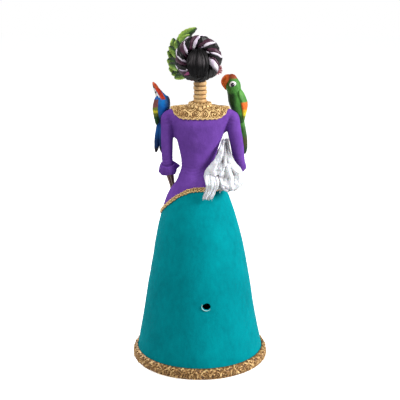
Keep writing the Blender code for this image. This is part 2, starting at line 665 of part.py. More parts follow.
def make_birds(seats_left, seats_right):
    make_bird(
        "macaw",
        ((0.0460, -0.0120, 0.2850), (0.0452, -0.0120, 0.2950), (0.0436, -0.0118, 0.3075),
         (0.0452, -0.0118, 0.3160), (0.0480, -0.0118, 0.3225)),
        (0.0040, 0.0076, 0.0090, 0.0074, 0.0052),
        (((0.0492, -0.0120, 0.3240), (0.0515, -0.0130, 0.3285), (0.0536, -0.0140, 0.3318)),
         (0.0042, 0.0028, 0.0008)),
        (("wing_outer", ((0.0490, -0.0098, 0.3090), (0.0512, -0.0095, 0.2990), (0.0498, -0.0090, 0.2830)),
          (0.0050, 0.0060, 0.0020), (0.15, 1, 0)),
         ("wing_inner", ((0.0400, -0.0215, 0.3085), (0.0410, -0.0238, 0.2980), (0.0430, -0.0215, 0.2840)),
          (0.0048, 0.0054, 0.0020), (1, 0.15, 0))),
        (((0.0466, -0.0118, 0.2825), (0.0482, -0.0100, 0.2700), (0.0508, -0.0085, 0.2495)),
         (0.0042, 0.0044, 0.0026)),
        (MACAW_BLUE, BEAK_RED),
        seats_left,
    )
    make_bird(
        "parrot",
        ((-0.0472, -0.0108, 0.2860), (-0.0456, -0.0108, 0.2960), (-0.0424, -0.0108, 0.3090),
         (-0.0395, -0.0108, 0.3190), (-0.0378, -0.0108, 0.3265), (-0.0362, -0.0108, 0.3330)),
        (0.0045, 0.0078, 0.0096, 0.0080, 0.0084, 0.0062),
        (((-0.0310, -0.0108, 0.3325), (-0.0280, -0.0110, 0.3295), (-0.0270, -0.0112, 0.3225)),
         (0.0054, 0.0042, 0.0014)),
        (("wing_outer", ((-0.0480, -0.0062, 0.3150), (-0.0512, -0.0070, 0.3040), (-0.0502, -0.0070, 0.2895)),
          (0.0050, 0.0060, 0.0020), (0.15, 1, 0)),
         ("wing_inner", ((-0.0392, -0.0215, 0.3145), (-0.0400, -0.0232, 0.3040), (-0.0430, -0.0200, 0.2905)),
          (0.0048, 0.0054, 0.0020), (1, 0.15, 0))),
        (((-0.0482, -0.0100, 0.2835), (-0.0500, -0.0085, 0.2700), (-0.0518, -0.0070, 0.2490)),
         (0.0046, 0.0046, 0.0028)),
        (PARROT_GREEN, BEAK_RED),
        seats_right,
    )


# ---------------------------------------------------------------- shawl
def draped(name, stations):
    """A soft fold of cloth: ellipses from (centre, half width, half thickness, width direction)."""
    rings = []
    for i, (centre, half_width, half_thickness, broad) in enumerate(stations):
        before = stations[max(i - 1, 0)][0]
        after = stations[min(i + 1, len(stations) - 1)][0]
        normal = (Vector(after) - Vector(before)).normalized()
        rings.append(circle(Vector(centre), half_width, 16, normal, Vector(broad), half_thickness))
    return loft(name, rings, GAUZE)


SIDEWAYS = (1, 0, 0)


def make_shawl():
    """A gauze shawl stuck under the right arm: one end hangs free behind the hip, one before it."""
    draped("shawl_back", (
        ((-0.0290, 0.0046, 0.2640), 0.0028, 0.0020, SIDEWAYS),
        ((-0.0282, 0.0105, 0.2560), 0.0045, 0.0028, SIDEWAYS),
        ((-0.0265, 0.0175, 0.2470), 0.0085, 0.0034, SIDEWAYS),
        ((-0.0250, 0.0237, 0.2385), 0.0140, 0.0042, SIDEWAYS),
        ((-0.0250, 0.0287, 0.2300), 0.0178, 0.0056, SIDEWAYS),
        ((-0.0280, 0.0322, 0.2225), 0.0150, 0.0058, SIDEWAYS),
        ((-0.0325, 0.0332, 0.2160), 0.0085, 0.0038, SIDEWAYS),
    ))
    draped("shawl_tail", (
        ((-0.0128, 0.0392, 0.2235), 0.0040, 0.0012, SIDEWAYS),
        ((-0.0112, 0.0398, 0.2150), 0.0052, 0.0014, SIDEWAYS),
        ((-0.0096, 0.0405, 0.2060), 0.0060, 0.0014, SIDEWAYS),
    ))
    draped("shawl_front", (
        ((-0.0290, 0.0006, 0.2640), 0.0026, 0.0020, SIDEWAYS),
        ((-0.0290, -0.0095, 0.2595), 0.0028, 0.0024, SIDEWAYS),
        ((-0.0280, -0.0190, 0.2510), 0.0045, 0.0026, SIDEWAYS),
        ((-0.0255, -0.0260, 0.2390), 0.0065, 0.0028, SIDEWAYS),
        ((-0.0225, -0.0325, 0.2250), 0.0080, 0.0030, SIDEWAYS),
        ((-0.0205, -0.0395, 0.2090), 0.0090, 0.0026, SIDEWAYS),
        ((-0.0195, -0.0452, 0.1940), 0.0100, 0.0020, SIDEWAYS),
    ))


# ---------------------------------------------------------------- the figure
def main():
    clear_scene()
    make_skirt()
    make_hem()
    rod = make_base()

    bodice, core, torso = make_bodice(rod)
    make_waist_trim()
    _, yoke_form = make_yoke()
    make_frill()

    wire = make_arm_wire()
    left_sleeve = make_sleeve("left_sleeve", SHOULDER_LEFT, ELBOW_LEFT, 0.0015, CUFF_LEFT,
                              [0.0060, 0.0078, 0.0074, 0.0068, 0.0064, 0.0062, 0.0060], torso)
    right_sleeve = make_sleeve("right_sleeve", SHOULDER_RIGHT, ELBOW_RIGHT, 0.0005, CUFF_RIGHT,
                               [0.0060, 0.0080, 0.0080, 0.0077, 0.0070, 0.0064, 0.0060], torso)
    for sleeve in (left_sleeve, right_sleeve):
        carve(sleeve, yoke_form, wire)
    carve(bodice, wire)
    carve(core, wire)

    left_foot = ELBOW_LEFT + CUFF_LEFT.normalized() * 0.0010
    right_foot = ELBOW_RIGHT + CUFF_RIGHT.normalized() * 0.0028
    make_cuff("left_cuff", left_foot, 0.0066, CUFF_LEFT, 0.0108, 0.0125, torso)
    make_cuff("right_cuff", right_foot, 0.0066, CUFF_RIGHT, 0.0100, 0.0115, torso)
    left_forearm = make_forearm("left_forearm", ELBOW_LEFT, WRIST_LEFT, 0.0040, left_sleeve)
    right_forearm = make_forearm("right_forearm", ELBOW_RIGHT, WRIST_RIGHT, 0.0038, right_sleeve)
    for forearm in (left_forearm, right_forearm):
        carve(forearm, wire)
    make_hand("left_hand", WRIST_LEFT, Vector((-0.30, -0.75, -0.60)), Vector((-0.6, 0.5, -0.5)), 0.5, 1,
              left_forearm)
    make_hand("right_hand", WRIST_RIGHT, Vector((0.30, -0.90, 0.10)), Vector((0.2, 0.1, 1.0)), 0.8, 1,
              right_forearm)

    make_neck()
    skull_form = helper(head_form("skull form", 0.0, SKULL_WHITE))
    cap_form = helper(head_form("cap form", HAIR_THICKNESS, HAIR_BLACK))
    skull = make_skull(rod)
    jaw = make_jaw(skull_form)
    make_hair(skull_form, jaw)
    bun, braid = make_bun_and_braid(cap_form)
    placed = [cap_form, braid, jaw]
    for name, direction, radius, colour in FLOWERS:
        placed.append(make_flower(name, direction, radius, colour, placed))
    for name, root, tip, half_width in LEAVES:
        placed.append(make_leaf(name, root, tip, half_width, placed))
    make_birds((left_sleeve, torso, yoke_form), (right_sleeve, torso, yoke_form))
    make_shawl()


main()
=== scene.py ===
"""The looks of the papier-mache catrina, seen from behind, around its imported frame.

+Z is up, the face looks along -Y and the figure's left arm is at +X. All lengths are in metres.
"""

import math
import random

import bmesh
import bpy
from mathutils import Matrix, Vector, noise


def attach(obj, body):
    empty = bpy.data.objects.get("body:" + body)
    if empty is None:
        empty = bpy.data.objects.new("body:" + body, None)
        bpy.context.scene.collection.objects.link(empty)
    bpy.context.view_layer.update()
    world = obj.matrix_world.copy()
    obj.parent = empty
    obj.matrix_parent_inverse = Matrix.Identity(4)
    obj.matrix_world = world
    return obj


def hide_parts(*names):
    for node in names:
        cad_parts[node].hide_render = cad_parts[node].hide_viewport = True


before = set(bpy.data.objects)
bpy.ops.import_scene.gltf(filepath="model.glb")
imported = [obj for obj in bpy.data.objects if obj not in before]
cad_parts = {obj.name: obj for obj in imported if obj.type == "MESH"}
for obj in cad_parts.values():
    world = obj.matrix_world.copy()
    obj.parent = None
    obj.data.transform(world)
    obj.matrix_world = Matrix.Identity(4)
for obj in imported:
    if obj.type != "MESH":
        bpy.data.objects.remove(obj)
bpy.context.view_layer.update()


def vec(*parts):
    return Vector(parts)


def wander(*parts):
    """A smooth random height, from -1 to 1, at a place given by its coordinates."""
    return noise.noise(Vector(parts))


TAU = 2 * math.pi
RIGHT, BACK, UP = vec(1, 0, 0), vec(0, 1, 0), vec(0, 0, 1)

# ---------------------------------------------------------------- dimensions, as in the CAD model
BODY_RINGS = (
    (0.0, 0.077, 0.077, 0.077, 0.0),
    (0.062, 0.0658, 0.0655, 0.0655, 0.001),
    (0.123, 0.0555, 0.055, 0.055, 0.0008),
    (0.166, 0.0465, 0.045, 0.0455, 0.0018),
    (0.19, 0.0392, 0.037, 0.0385, 0.0023),
    (0.209, 0.0315, 0.0285, 0.0315, 0.0028),
    (0.221, 0.0238, 0.0215, 0.0235, 0.0034),
    (0.234, 0.018, 0.0155, 0.0155, 0.0032),
    (0.25, 0.0212, 0.0172, 0.0155, 0.0017),
    (0.266, 0.0258, 0.0208, 0.0172, 0.001),
    (0.281, 0.031, 0.021, 0.0178, 0.0004),
    (0.29, 0.0352, 0.0185, 0.0162, 0.0),
    (0.2965, 0.0374, 0.015, 0.0135, 0.0),
    (0.3005, 0.0342, 0.0115, 0.011, 0.0),
    (0.3022, 0.0215, 0.01, 0.0098, 0.0),
    (0.3028, 0.01, 0.0092, 0.0092, 0.0),
)
RING_VALUES = list(zip(*BODY_RINGS))
TOP_RING = len(BODY_RINGS) - 1
SEAM_HEIGHT = 0.1965
SEAM_WAVES = ((-0.0116, 0.0137), (-0.0031, 0.0024), (-0.0018, 0.0008))
HEM_HEIGHT, HEM_RADIUS = 0.0125, 0.0812
WALL = 0.003
VENT_X, VENT_HEIGHT, VENT_RADIUS = -0.0074, 0.083, 0.0048
NECK_FOOT, NECK_TOP, VERTEBRAE = 0.3032, 0.337, 7
SKULL_CENTRE, SKULL_RADII = vec(0.001, -0.001, 0.3585), vec(0.0195, 0.0225, 0.0198)
HAIR_THICKNESS = 0.003
BUN_CENTRE, BUN_RADII = vec(0.0022, 0.0268, 0.3556), vec(0.0122, 0.0105, 0.016)
BRAID_CENTRE, BRAID_RADIUS = vec(0.0018, 0.0195, 0.36), 0.019
SHOULDER_LEFT, SHOULDER_RIGHT = vec(0.0355, 0, 0.2962), vec(-0.0355, 0, 0.2962)
ELBOW_LEFT, ELBOW_RIGHT = vec(0.0378, -0.0015, 0.237), vec(-0.0458, -0.002, 0.2372)
WRIST_LEFT, WRIST_RIGHT = vec(0.0318, -0.029, 0.1975), vec(-0.0392, -0.033, 0.2205)
CUFF_LEFT, CUFF_RIGHT = vec(-0.05, -0.42, -1.0), vec(0.05, -0.8, -0.72)


def srgb(red, green, blue):
    """A colour given as it looks on a screen, 0 to 255, made linear."""
    return tuple(((c / 255 + 0.055) / 1.055) ** 2.4 if c > 10 else c / 3294 for c in (red, green, blue))


# ---------------------------------------------------------------- camera, floor and light
CAMERA_PLACE, CAMERA_TILT, CAMERA_LENS, SENSOR_WIDTH = (0, 1.08, 0.486), 15.2, 85.86, 36.0
FLOOR_SIDE, FLOOR_GLOW = 4.0, 0.62
STUDIO_TINT, STUDIO_LIGHT = (0.96, 0.98, 1.0, 1), 0.42
LAMP_AIM = vec(0, 0, 0.2)
LAMPS = (  # name, place, size and power
    ("key", (-1.25, 0.38, 0.8), 0.5, 27.0),
    ("top", (0.48, 0.42, 0.95), 0.6, 5.5),
    ("front", (0.8, -1.1, 0.9), 0.8, 10.0),
)


def add(name, data):
    """A new object in the scene."""
    made = bpy.data.objects.new(name, data)
    bpy.context.scene.collection.objects.link(made)
    return made


def stage():
    """The photograph's camera, a pale floor that casts no light on the figure, and soft lamps."""
    scene = bpy.context.scene
    camera = add("camera", bpy.data.cameras.new("camera"))
    camera.location = CAMERA_PLACE
    camera.rotation_euler = (math.radians(90 - CAMERA_TILT), 0, math.pi)
    camera.data.lens, camera.data.sensor_width = CAMERA_LENS, SENSOR_WIDTH
    scene.camera = camera

    floor, d = bpy.data.meshes.new("floor"), FLOOR_SIDE
    floor.from_pydata([(-d, -d, 0), (d, -d, 0), (d, d, 0), (-d, d, 0)], [], [(0, 1, 2, 3)])
    floor.materials.append(Paint("floor", 0.9, Base_Color=(0.9, 0.9, 0.9, 1), Specular_IOR_Level=0.1,
                                 Emission_Color=(1, 1, 1, 1), Emission_Strength=FLOOR_GLOW).material)
    ground = add("floor", floor)
    ground.visible_diffuse = False

    world = bpy.data.worlds.new("studio")
    world.use_nodes = True
    nodes, links = world.node_tree.nodes, world.node_tree.links
    plain, seen = nodes["Background"], nodes.new("ShaderNodeBackground")
    rays, choice = nodes.new("ShaderNodeLightPath"), nodes.new("ShaderNodeMixShader")
    for made, colour, strength in ((plain, STUDIO_TINT, STUDIO_LIGHT), (seen, (1, 1, 1, 1), 1.0)):
        made.inputs["Color"].default_value, made.inputs["Strength"].default_value = colour, strength
    for k, output in enumerate((rays.outputs["Is Camera Ray"], plain.outputs[0], seen.outputs[0])):
        links.new(output, choice.inputs[k])
    links.new(choice.outputs[0], nodes["World Output"].inputs["Surface"])
    scene.world = world
    scene.view_settings.view_transform = "Standard"
    for name, place, size, power in LAMPS:
        lamp = bpy.data.lights.new(name, "AREA")
        lamp.size, lamp.energy = size, power
        light = add(name, lamp)
        light.location = place
        light.rotation_euler = (LAMP_AIM - Vector(place)).to_track_quat("-Z", "Y").to_euler()


# ---------------------------------------------------------------- materials
class Paint:
    """Node material under construction. Textures sit in the object's own coordinates, in metres."""

    def __init__(self, name, roughness=0.7, metallic=0.0, **sockets):
        self.material = bpy.data.materials.new(name)
        self.material.use_nodes = True
        self.tree = self.material.node_tree
        self.shader = self.tree.nodes["Principled BSDF"]
        self.shader.inputs["Roughness"].default_value = roughness
        self.shader.inputs["Metallic"].default_value = metallic
        for socket, value in sockets.items():
            self.shader.inputs[socket.replace("_", " ")].default_value = value
        self.place = self.tree.nodes.new("ShaderNodeTexCoord").outputs["Object"]

    def node(self, kind, output, settings=(), **inputs):
        made = self.tree.nodes.new("ShaderNode" + kind)
        for key, value in dict(settings).items():
            setattr(made, key, value)
        for key, value in inputs.items():
            socket = made.inputs[int(key[1:])] if key[1:].isdigit() else made.inputs[key.replace("_", " ")]
            if isinstance(value, bpy.types.NodeSocket):
                self.tree.links.new(value, socket)
            else:
                socket.default_value = value
        return made.outputs[output]

    def noise(self, scale, detail=3.0, stretch=(1, 1, 1), seed=0.0, rough=0.55):
        place = self.node("Mapping", 0, Vector=self.place, Scale=stretch, Location=(seed, seed * 0.7, seed * 1.3))
        return self.node("TexNoise", 0, Vector=place, Scale=scale, Detail=detail, Roughness=rough)

    def attribute(self, name):
        return self.node("Attribute", "Color" if name == "tint" else "Fac", {"attribute_name": name})

    def ramp(self, factor, *stops):
        """Colours or grey values along a factor, from (place, colour) stops."""
        made = self.tree.nodes.new("ShaderNodeValToRGB")
        self.tree.links.new(factor, made.inputs[0])
        line = made.color_ramp.elements
        while len(line) < len(stops):
            line.new(0.5)
        for element, (place, colour) in zip(line, stops):
            element.position = place
            element.color = (*colour, 1) if isinstance(colour, tuple) else (colour, colour, colour, 1)
        return made.outputs[0]

    def mix(self, factor, first, second, way="MIX"):
        return self.node("Mix", 2, {"data_type": "RGBA", "blend_type": way}, _0=factor,
                         _6=first if not isinstance(first, tuple) else (*first, 1),
                         _7=second if not isinstance(second, tuple) else (*second, 1))

    def math(self, way, first, second):
        return self.node("Math", 0, {"operation": way}, _0=first, _1=second)

    def sway(self, base, clouds, depth):
        """A factor moved up and down by clouds."""
        return self.math("ADD", base, self.math("MULTIPLY", self.math("SUBTRACT", clouds, 0.5), depth))

    def colour(self, socket):
        self.tree.links.new(socket, self.shader.inputs["Base Color"])
        return self

    def coat(self, base, factor, *stops, share=1.0):
        """The base colour, darkened and lightened by grey values along a factor."""
        return self.colour(self.mix(share, base, self.ramp(factor, *stops), "MULTIPLY"))

    def rough(self, factor, low, high):
        self.tree.links.new(self.ramp(factor, (0.25, low), (0.75, high)), self.shader.inputs["Roughness"])
        return self

    def bump(self, *layers):
        """Fine relief, from (height socket, depth in metres) pairs."""
        normal = None
        for height, depth in layers:
            inputs = {"Height": height, "Distance": depth, "Strength": 1.0}
            if normal is not None:
                inputs["Normal"] = normal
            normal = self.node("Bump", 0, **inputs)
        self.tree.links.new(normal, self.shader.inputs["Normal"])
        return self


def paper_paint(name, dark, plain, light, roughness=0.74, stroke=(1, 1, 0.55)):
    """Matte acrylic brushed over papier-mache: cloudy patches, brush strokes, fibres and pits."""
    paint = Paint(name, roughness, Specular_IOR_Level=0.02)
    clouds = paint.noise(26, 5)
    strokes = paint.noise(190, 5, stroke, 3.1)
    grain = paint.noise(1500, 3, seed=1.7)
    fibres = paint.noise(520, 6, (1, 1, 0.45), 5.2, 0.7)
    base = paint.ramp(paint.math("ADD", paint.math("MULTIPLY", clouds, 0.62), paint.math("MULTIPLY", strokes, 0.38)),
                      (0.3, dark), (0.5, plain), (0.72, light))
    paint.coat(base, grain, (0.3, 0.86), (0.55, 1.0), (0.78, 1.1))
    paint.rough(fibres, roughness - 0.08, roughness + 0.1)
    return paint.bump((clouds, 0.001), (strokes, 0.00022), (fibres, 0.00016), (grain, 0.00007)).material


def gold_paint():
    """Dull gold over paper lace: brown in the hollows as painted shade, and pale on what stands out as painted
    highlight.
    """
    paint = Paint("gold", 0.45, 0.35, Specular_IOR_Level=0.55)
    relief = paint.attribute("relief")
    clouds, grain = paint.noise(140, 4), paint.noise(1300, 4, seed=2.2)
    # Painted shade and painted highlight: the colour follows the relief height, dark brown in the hollows and pale on
    # the raised lace.
    base = paint.ramp(paint.sway(relief, clouds, 0.55), (0.08, srgb(48, 28, 10)), (0.42, srgb(112, 76, 34)),
                      (0.7, srgb(152, 110, 56)), (1.0, srgb(224, 188, 128)))
    paint.coat(base, grain, (0.3, 0.8), (0.7, 1.12)).rough(grain, 0.36, 0.58)
    return paint.bump((clouds, 0.00025), (grain, 0.00009)).material


def tinted_paint(name, roughness=0.5, strokes=(1, 1, 0.3), depth=0.0001, contrast=0.16, **sockets):
    """Satin paint whose colour is laid on point by point, with brush marks and fine grain."""
    paint = Paint(name, roughness, **sockets)
    brush, grain = paint.noise(420, 4, strokes), paint.noise(1700, 3, seed=4.0)
    shade = paint.ramp(brush, (0.28, 1 - contrast), (0.72, 1 + contrast * 0.8))
    paint.coat(paint.mix(1.0, paint.attribute("tint"), shade, "MULTIPLY"), grain, (0.3, 0.93), (0.7, 1.05))
    paint.rough(brush, roughness - 0.08, roughness + 0.12)
    return paint.bump((brush, depth), (grain, depth * 0.5)).material


def hair_paint():
    """Glossy black over combed grooves, brown-grey where the paint has worn thin."""
    paint = Paint("hair", 0.42, Specular_IOR_Level=0.08)
    grain, wear = paint.noise(1600, 3, (1, 1, 0.2)), paint.noise(90, 4, seed=6.0)
    paint.coat(paint.attribute("tint"), wear, (0.35, 0.7), (0.75, 1.5)).rough(wear, 0.38, 0.6)
    return paint.bump((grain, 0.0001)).material


def gauze():
    """Thin open weave: crossing threads a little apart, so that what is behind shows through."""
    paint = Paint("gauze", 0.92, Sheen_Weight=0.25, Sheen_Roughness=0.5, Subsurface_Weight=0.12,
                  Subsurface_Scale=0.004)
    clouds, slubs = paint.noise(160, 4), paint.noise(900, 3, (1, 1, 0.15), 2.0)
    warp, weft = (paint.node("TexWave", 0, {"bands_direction": way}, Vector=paint.place, Scale=560.0,
                             Distortion=1.6, Detail=2.0) for way in "XZ")
    weave = paint.math("MAXIMUM", warp, weft)
    # Painted shade: the gauze is grey where the relief value each sheet carries is low, in fold hollows and under the
    # arm, and white where it is high.
    folds = paint.sway(paint.attribute("relief"), clouds, 0.3)
    base = paint.ramp(folds, (0.05, srgb(122, 121, 125)), (0.33, srgb(196, 195, 198)), (0.7, srgb(240, 238, 241)))
    paint.coat(base, weave, (0.1, 0.86), (0.8, 1.0))
    thin = paint.attribute("thin")
    left = paint.math("SUBTRACT", weave, paint.math("MULTIPLY", thin, 0.9))
    open_weave = paint.ramp(left, (0.02, 0.25), (0.45, 1.0))
    paint.tree.links.new(paint.math("MAXIMUM", open_weave, paint.math("SUBTRACT", 0.95, thin)),
                         paint.shader.inputs["Alpha"])
    paint.rough(slubs, 0.84, 0.98)
    return paint.bump((weave, 0.0002), (slubs, 0.00014)).material


def inner_paints():
    """What the parts inside are made of: cardboard, wood, crumpled newspaper and wire."""
    board = Paint("cardboard", 0.9)
    fibres, flutes = board.noise(700, 5), board.noise(60, 4)
    base = board.ramp(flutes, (0.3, srgb(150, 122, 88)), (0.7, srgb(188, 158, 118)))
    board.coat(base, fibres, (0.3, 0.84), (0.7, 1.08)).rough(fibres, 0.82, 0.97).bump((fibres, 0.0002))
    wood = Paint("wood", 0.8)
    rings, grain = wood.noise(120, 4, (1, 1, 0.06)), wood.noise(900, 4, (1, 1, 0.08))
    base = wood.ramp(rings, (0.3, srgb(150, 108, 66)), (0.7, srgb(202, 164, 112)))
    wood.coat(base, grain, (0.3, 0.8), (0.7, 1.08)).rough(grain, 0.7, 0.9).bump((grain, 0.0002))
    news = Paint("newsprint", 0.95)
    folds, ink = news.noise(180, 6), news.noise(1100, 2, (1, 1, 3))
    base = news.ramp(folds, (0.3, srgb(120, 116, 106)), (0.7, srgb(206, 202, 190)))
    news.coat(base, ink, (0.45, 0.25), (0.6, 1.0), share=0.5).rough(folds, 0.88, 1.0).bump((folds, 0.0012))
    wire = Paint("wire", 0.35, 1.0)
    drawn, rust = wire.noise(900, 3, (1, 1, 0.1)), wire.noise(130, 5)
    wire.colour(wire.ramp(rust, (0.45, srgb(175, 176, 178)), (0.75, srgb(120, 92, 70))))
    wire.rough(rust, 0.28, 0.6).bump((drawn, 0.00006))
    return board.material, wood.material, news.material, wire.material


# ---------------------------------------------------------------- meshes
def catmull(items, count):
    """Samples along a smooth line through items, which are numbers or Vectors."""
    samples = []
    last = len(items) - 1
    for k in range(count):
        place = k / (count - 1) * last
        i = min(int(place), last - 1)
        t = place - i
        a, b, c, d = items[max(i - 1, 0)], items[i], items[i + 1], items[min(i + 2, last)]
        samples.append((b * 2 + (c - a) * t + (a * 2 - b * 5 + c * 4 - d) * t * t
                        + (b * 3 - a - c * 3 + d) * t**3) * 0.5)
    return samples


def grid(rows, columns, spot):
    """Rows of what spot(row, column) gives."""
    return [[spot(r, c) for c in range(columns)] for r in range(rows)]


def tube_rows(path, radii, count=16, start=vec(1, 0.2, 0), flat=1.0, loop=False, shape=None):
    """Rings round a path. flat squeezes them across the start direction, and shape(angle, share)
    scales the radius. The cross direction is carried along the path, so nothing twists."""
    rows, across, last = [], Vector(start), len(path) - 1
    for i, point in enumerate(path):
        before = path[i - 1] if loop or i else path[0]
        after = path[(i + 1) % len(path)] if loop else path[min(i + 1, last)]
        normal = (after - before).normalized()
        across = (across - normal * across.dot(normal)).normalized()
        along = normal.cross(across)
        ring = []
        for j in range(count):
            angle = TAU * j / count
            radius = radii[i] * (shape(angle, i / last) if shape else 1.0)
            ring.append(point + across * (math.cos(angle) * radius) + along * (math.sin(angle) * radius * flat))
        rows.append(ring)
    return rows


def rounded(path, radii, steps=4):
    """The path and radii with a rounded end added at both tips."""
    head, tail = [], []
    for k in range(steps):
        turn = math.pi / 2 * (k + 0.35) / steps
        for tip, inner, radius, group in ((path[0], path[1], radii[0], head), (path[-1], path[-2], radii[-1], tail)):
            out = (tip - inner).normalized()
            group.append((tip + out * radius * math.cos(turn), radius * math.sin(turn)))
    ends = [*head, *zip(path, radii), *tail[::-1]]
    return [point for point, _ in ends], [radius for _, radius in ends]


class Clay:
    """Closed skins gathered into one piece, with a colour and a relief value at every point; on the lace, the gold
    paint turns the relief value into painted shade and highlight.
    """

    def __init__(self, tint=(1, 1, 1)):
        self.points, self.faces, self.tints, self.reliefs = [], [], [], []
        self.tint = tint

    def skin(self, rows, tint=None, loop=False, wrap=True, caps=True, relief=None):
        """A grid of points skinned over. wrap joins each row's ends, loop the last row to the first."""
        tint = tint or self.tint
        base, count = len(self.points), len(rows[0])
        for r, row in enumerate(rows):
            for c, point in enumerate(row):
                self.points.append(point)
                self.tints.append(tint(point, r, c) if callable(tint) else tint)
                self.reliefs.append(relief(r, c) if relief else 0.5)
        for r in range(len(rows) if loop else len(rows) - 1):
            low, high = base + r * count, base + (r + 1) % len(rows) * count
            for c in range(count if wrap else count - 1):
                d = (c + 1) % count
                self.faces.append((low + c, low + d, high + d, high + c))
        if caps and not loop and wrap:
            self.faces.append(tuple(base + c for c in range(count))[::-1])
            self.faces.append(tuple(base + (len(rows) - 1) * count + c for c in range(count)))
        return self

    def tube(self, path, radii, tint=None, count=14, samples=None, ends=True, **shape):
        """A smooth bar through a few control points, with rounded ends."""
        if samples:
            path, radii = catmull([Vector(p) for p in path], samples), catmull(list(radii), samples)
        if ends:
            path, radii = rounded(path, radii)
        return self.skin(tube_rows(path, radii, count, **shape), tint)

    def blob(self, centre, radii, tint=None, turn=Matrix.Identity(3), rows=10, count=16):
        """An ellipsoid."""
        def spot(r, c):
            rise, angle = math.pi * (r + 0.12) / (rows + 0.24), TAU * c / count
            return centre + turn @ vec(math.sin(rise) * math.cos(angle) * radii[0],
                                       math.sin(rise) * math.sin(angle) * radii[1], -math.cos(rise) * radii[2])

        return self.skin(grid(rows + 1, count, spot), tint)

    def mesh(self, name):
        mesh = bpy.data.meshes.new(name)
        mesh.from_pydata(self.points, [], self.faces)
        mesh.update()
        tint = mesh.attributes.new("tint", "FLOAT_COLOR", "POINT")
        tint.data.foreach_set("color", [v for colour in self.tints for v in (*colour, 1.0)])
        relief = mesh.attributes.new("relief", "FLOAT", "POINT")
        relief.data.foreach_set("value", self.reliefs)
        return mesh

    def finish(self, name, material, slot, *nodes, body="figure", smooth=1, sharp=60):
        piece = add(name, self.mesh(name))
        return dress(piece, material, slot, *nodes, body=body, smooth=smooth, sharp=sharp)

    def raw(self, name):
        """A piece to be worked on before it is dressed."""
        piece = add(name, self.mesh(name))
        outward(piece.data)
        return piece


def apply_modifiers(piece):
    """Makes the modified mesh the piece's own."""
    bpy.context.view_layer.update()
    depsgraph = bpy.context.evaluated_depsgraph_get()
    mesh = bpy.data.meshes.new_from_object(piece.evaluated_get(depsgraph))
    piece.modifiers.clear()
    piece.data = mesh


def merge(piece, voxel, factor, iterations):
    """Melts overlapping skins into one and smooths the joints between them."""
    remesh, soften = piece.modifiers.new("merge", "REMESH"), piece.modifiers.new("soften", "SMOOTH")
    remesh.mode, remesh.voxel_size = "VOXEL", voxel
    soften.factor, soften.iterations = factor, iterations
    apply_modifiers(piece)


def outward(mesh):
    """Turns every face outward."""
    body = bmesh.new()
    body.from_mesh(mesh)
    bmesh.ops.recalc_face_normals(body, faces=body.faces)
    body.to_mesh(mesh)
    body.free()


def dress(piece, material, slot, *nodes, body="figure", smooth=1, sharp=60):
    """Gives a piece its material, its body and the CAD nodes that it stands for. The slot argument is not used."""
    outward(piece.data)
    if smooth:
        finer = piece.modifiers.new("finer", "SUBSURF")
        finer.levels = finer.render_levels = smooth
        apply_modifiers(piece)
    piece.data.shade_smooth()
    piece.data.set_sharp_from_angle(angle=math.radians(sharp))
    piece.data.materials.clear()
    piece.data.materials.append(material)
    if nodes:
        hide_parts(*nodes)
    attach(piece, body)
    return piece


def lumps(point, scale, depth, seed=0.0):
    """A smooth random height at a point."""
    return noise.noise(point * scale + vec(seed, seed * 2, seed * 3)) * depth


def blend(first, second, share):
    share = min(max(share, 0.0), 1.0)
    return tuple(a * (1 - share) + b * share for a, b in zip(first, second))


# ---------------------------------------------------------------- the body's form
def slope(before, here, after):
    rise, next_rise = here - before, after - here
    if rise * next_rise <= 0:
        return 0.0
    return 2 * rise * next_rise / (rise + next_rise)


def between(values, place):
    last = len(values) - 1
    i = min(max(int(place), 0), last - 1)
    t = place - i
    a, b = values[i], values[i + 1]
    slope_a = slope(values[i - 1], a, b) if i > 0 else b - a
    slope_b = slope(a, b, values[i + 2]) if i + 2 <= last else b - a
    return (a * (2 * t**3 - 3 * t**2 + 1) + b * (3 * t**2 - 2 * t**3)
            + slope_a * (t**3 - 2 * t**2 + t) + slope_b * (t**3 - t**2))


def surface(place, angle):
    """Point on the dress at a place up the rings and an angle from +X round to the back."""
    height, width, front, back, lean = (between(values, place) for values in RING_VALUES)
    depth = back if math.sin(angle) > 0 else front
    waist = 0.0028 * math.exp(-((height - 0.215) / 0.0085) ** 2) * max(0.0, math.cos(angle)) ** 2
    return vec(lean + width * math.cos(angle) - waist, depth * math.sin(angle), height)


def surface_out(place, angle, offset):
    """The surface point moved out square to the surface."""
    step = 0.02
    up = surface(min(place + step, TOP_RING), angle) - surface(max(place - step, 0), angle)
    round_ = surface(place, angle + step) - surface(place, angle - step)
    return surface(place, angle) + round_.cross(up).normalized() * offset


def place_where(test, low=0.0, high=float(TOP_RING)):
    """The place up the rings where a test stops being true."""
    for _ in range(24):
        middle = (low + high) / 2
        if test(middle):
            low = middle
        else:
            high = middle
    return (low + high) / 2


def place_at(height):
    return place_where(lambda place: between(RING_VALUES[0], place) < height)


def seam_height(angle):
    height = SEAM_HEIGHT
    for times, (cosine, sine) in enumerate(SEAM_WAVES, 1):
        height += cosine * math.cos(times * angle) + sine * math.sin(times * angle)
    return height


def yoke_edge(angle):
    reach = abs(math.sin(angle))
    share = min(max((reach - 0.45) / 0.4, 0.0), 1.0)
    dip = 0.0107 if math.sin(angle) > 0 else 0.0135
    return 0.3012 - dip * (0.85 * share**2 * (3 - 2 * share) + 0.15 * reach)


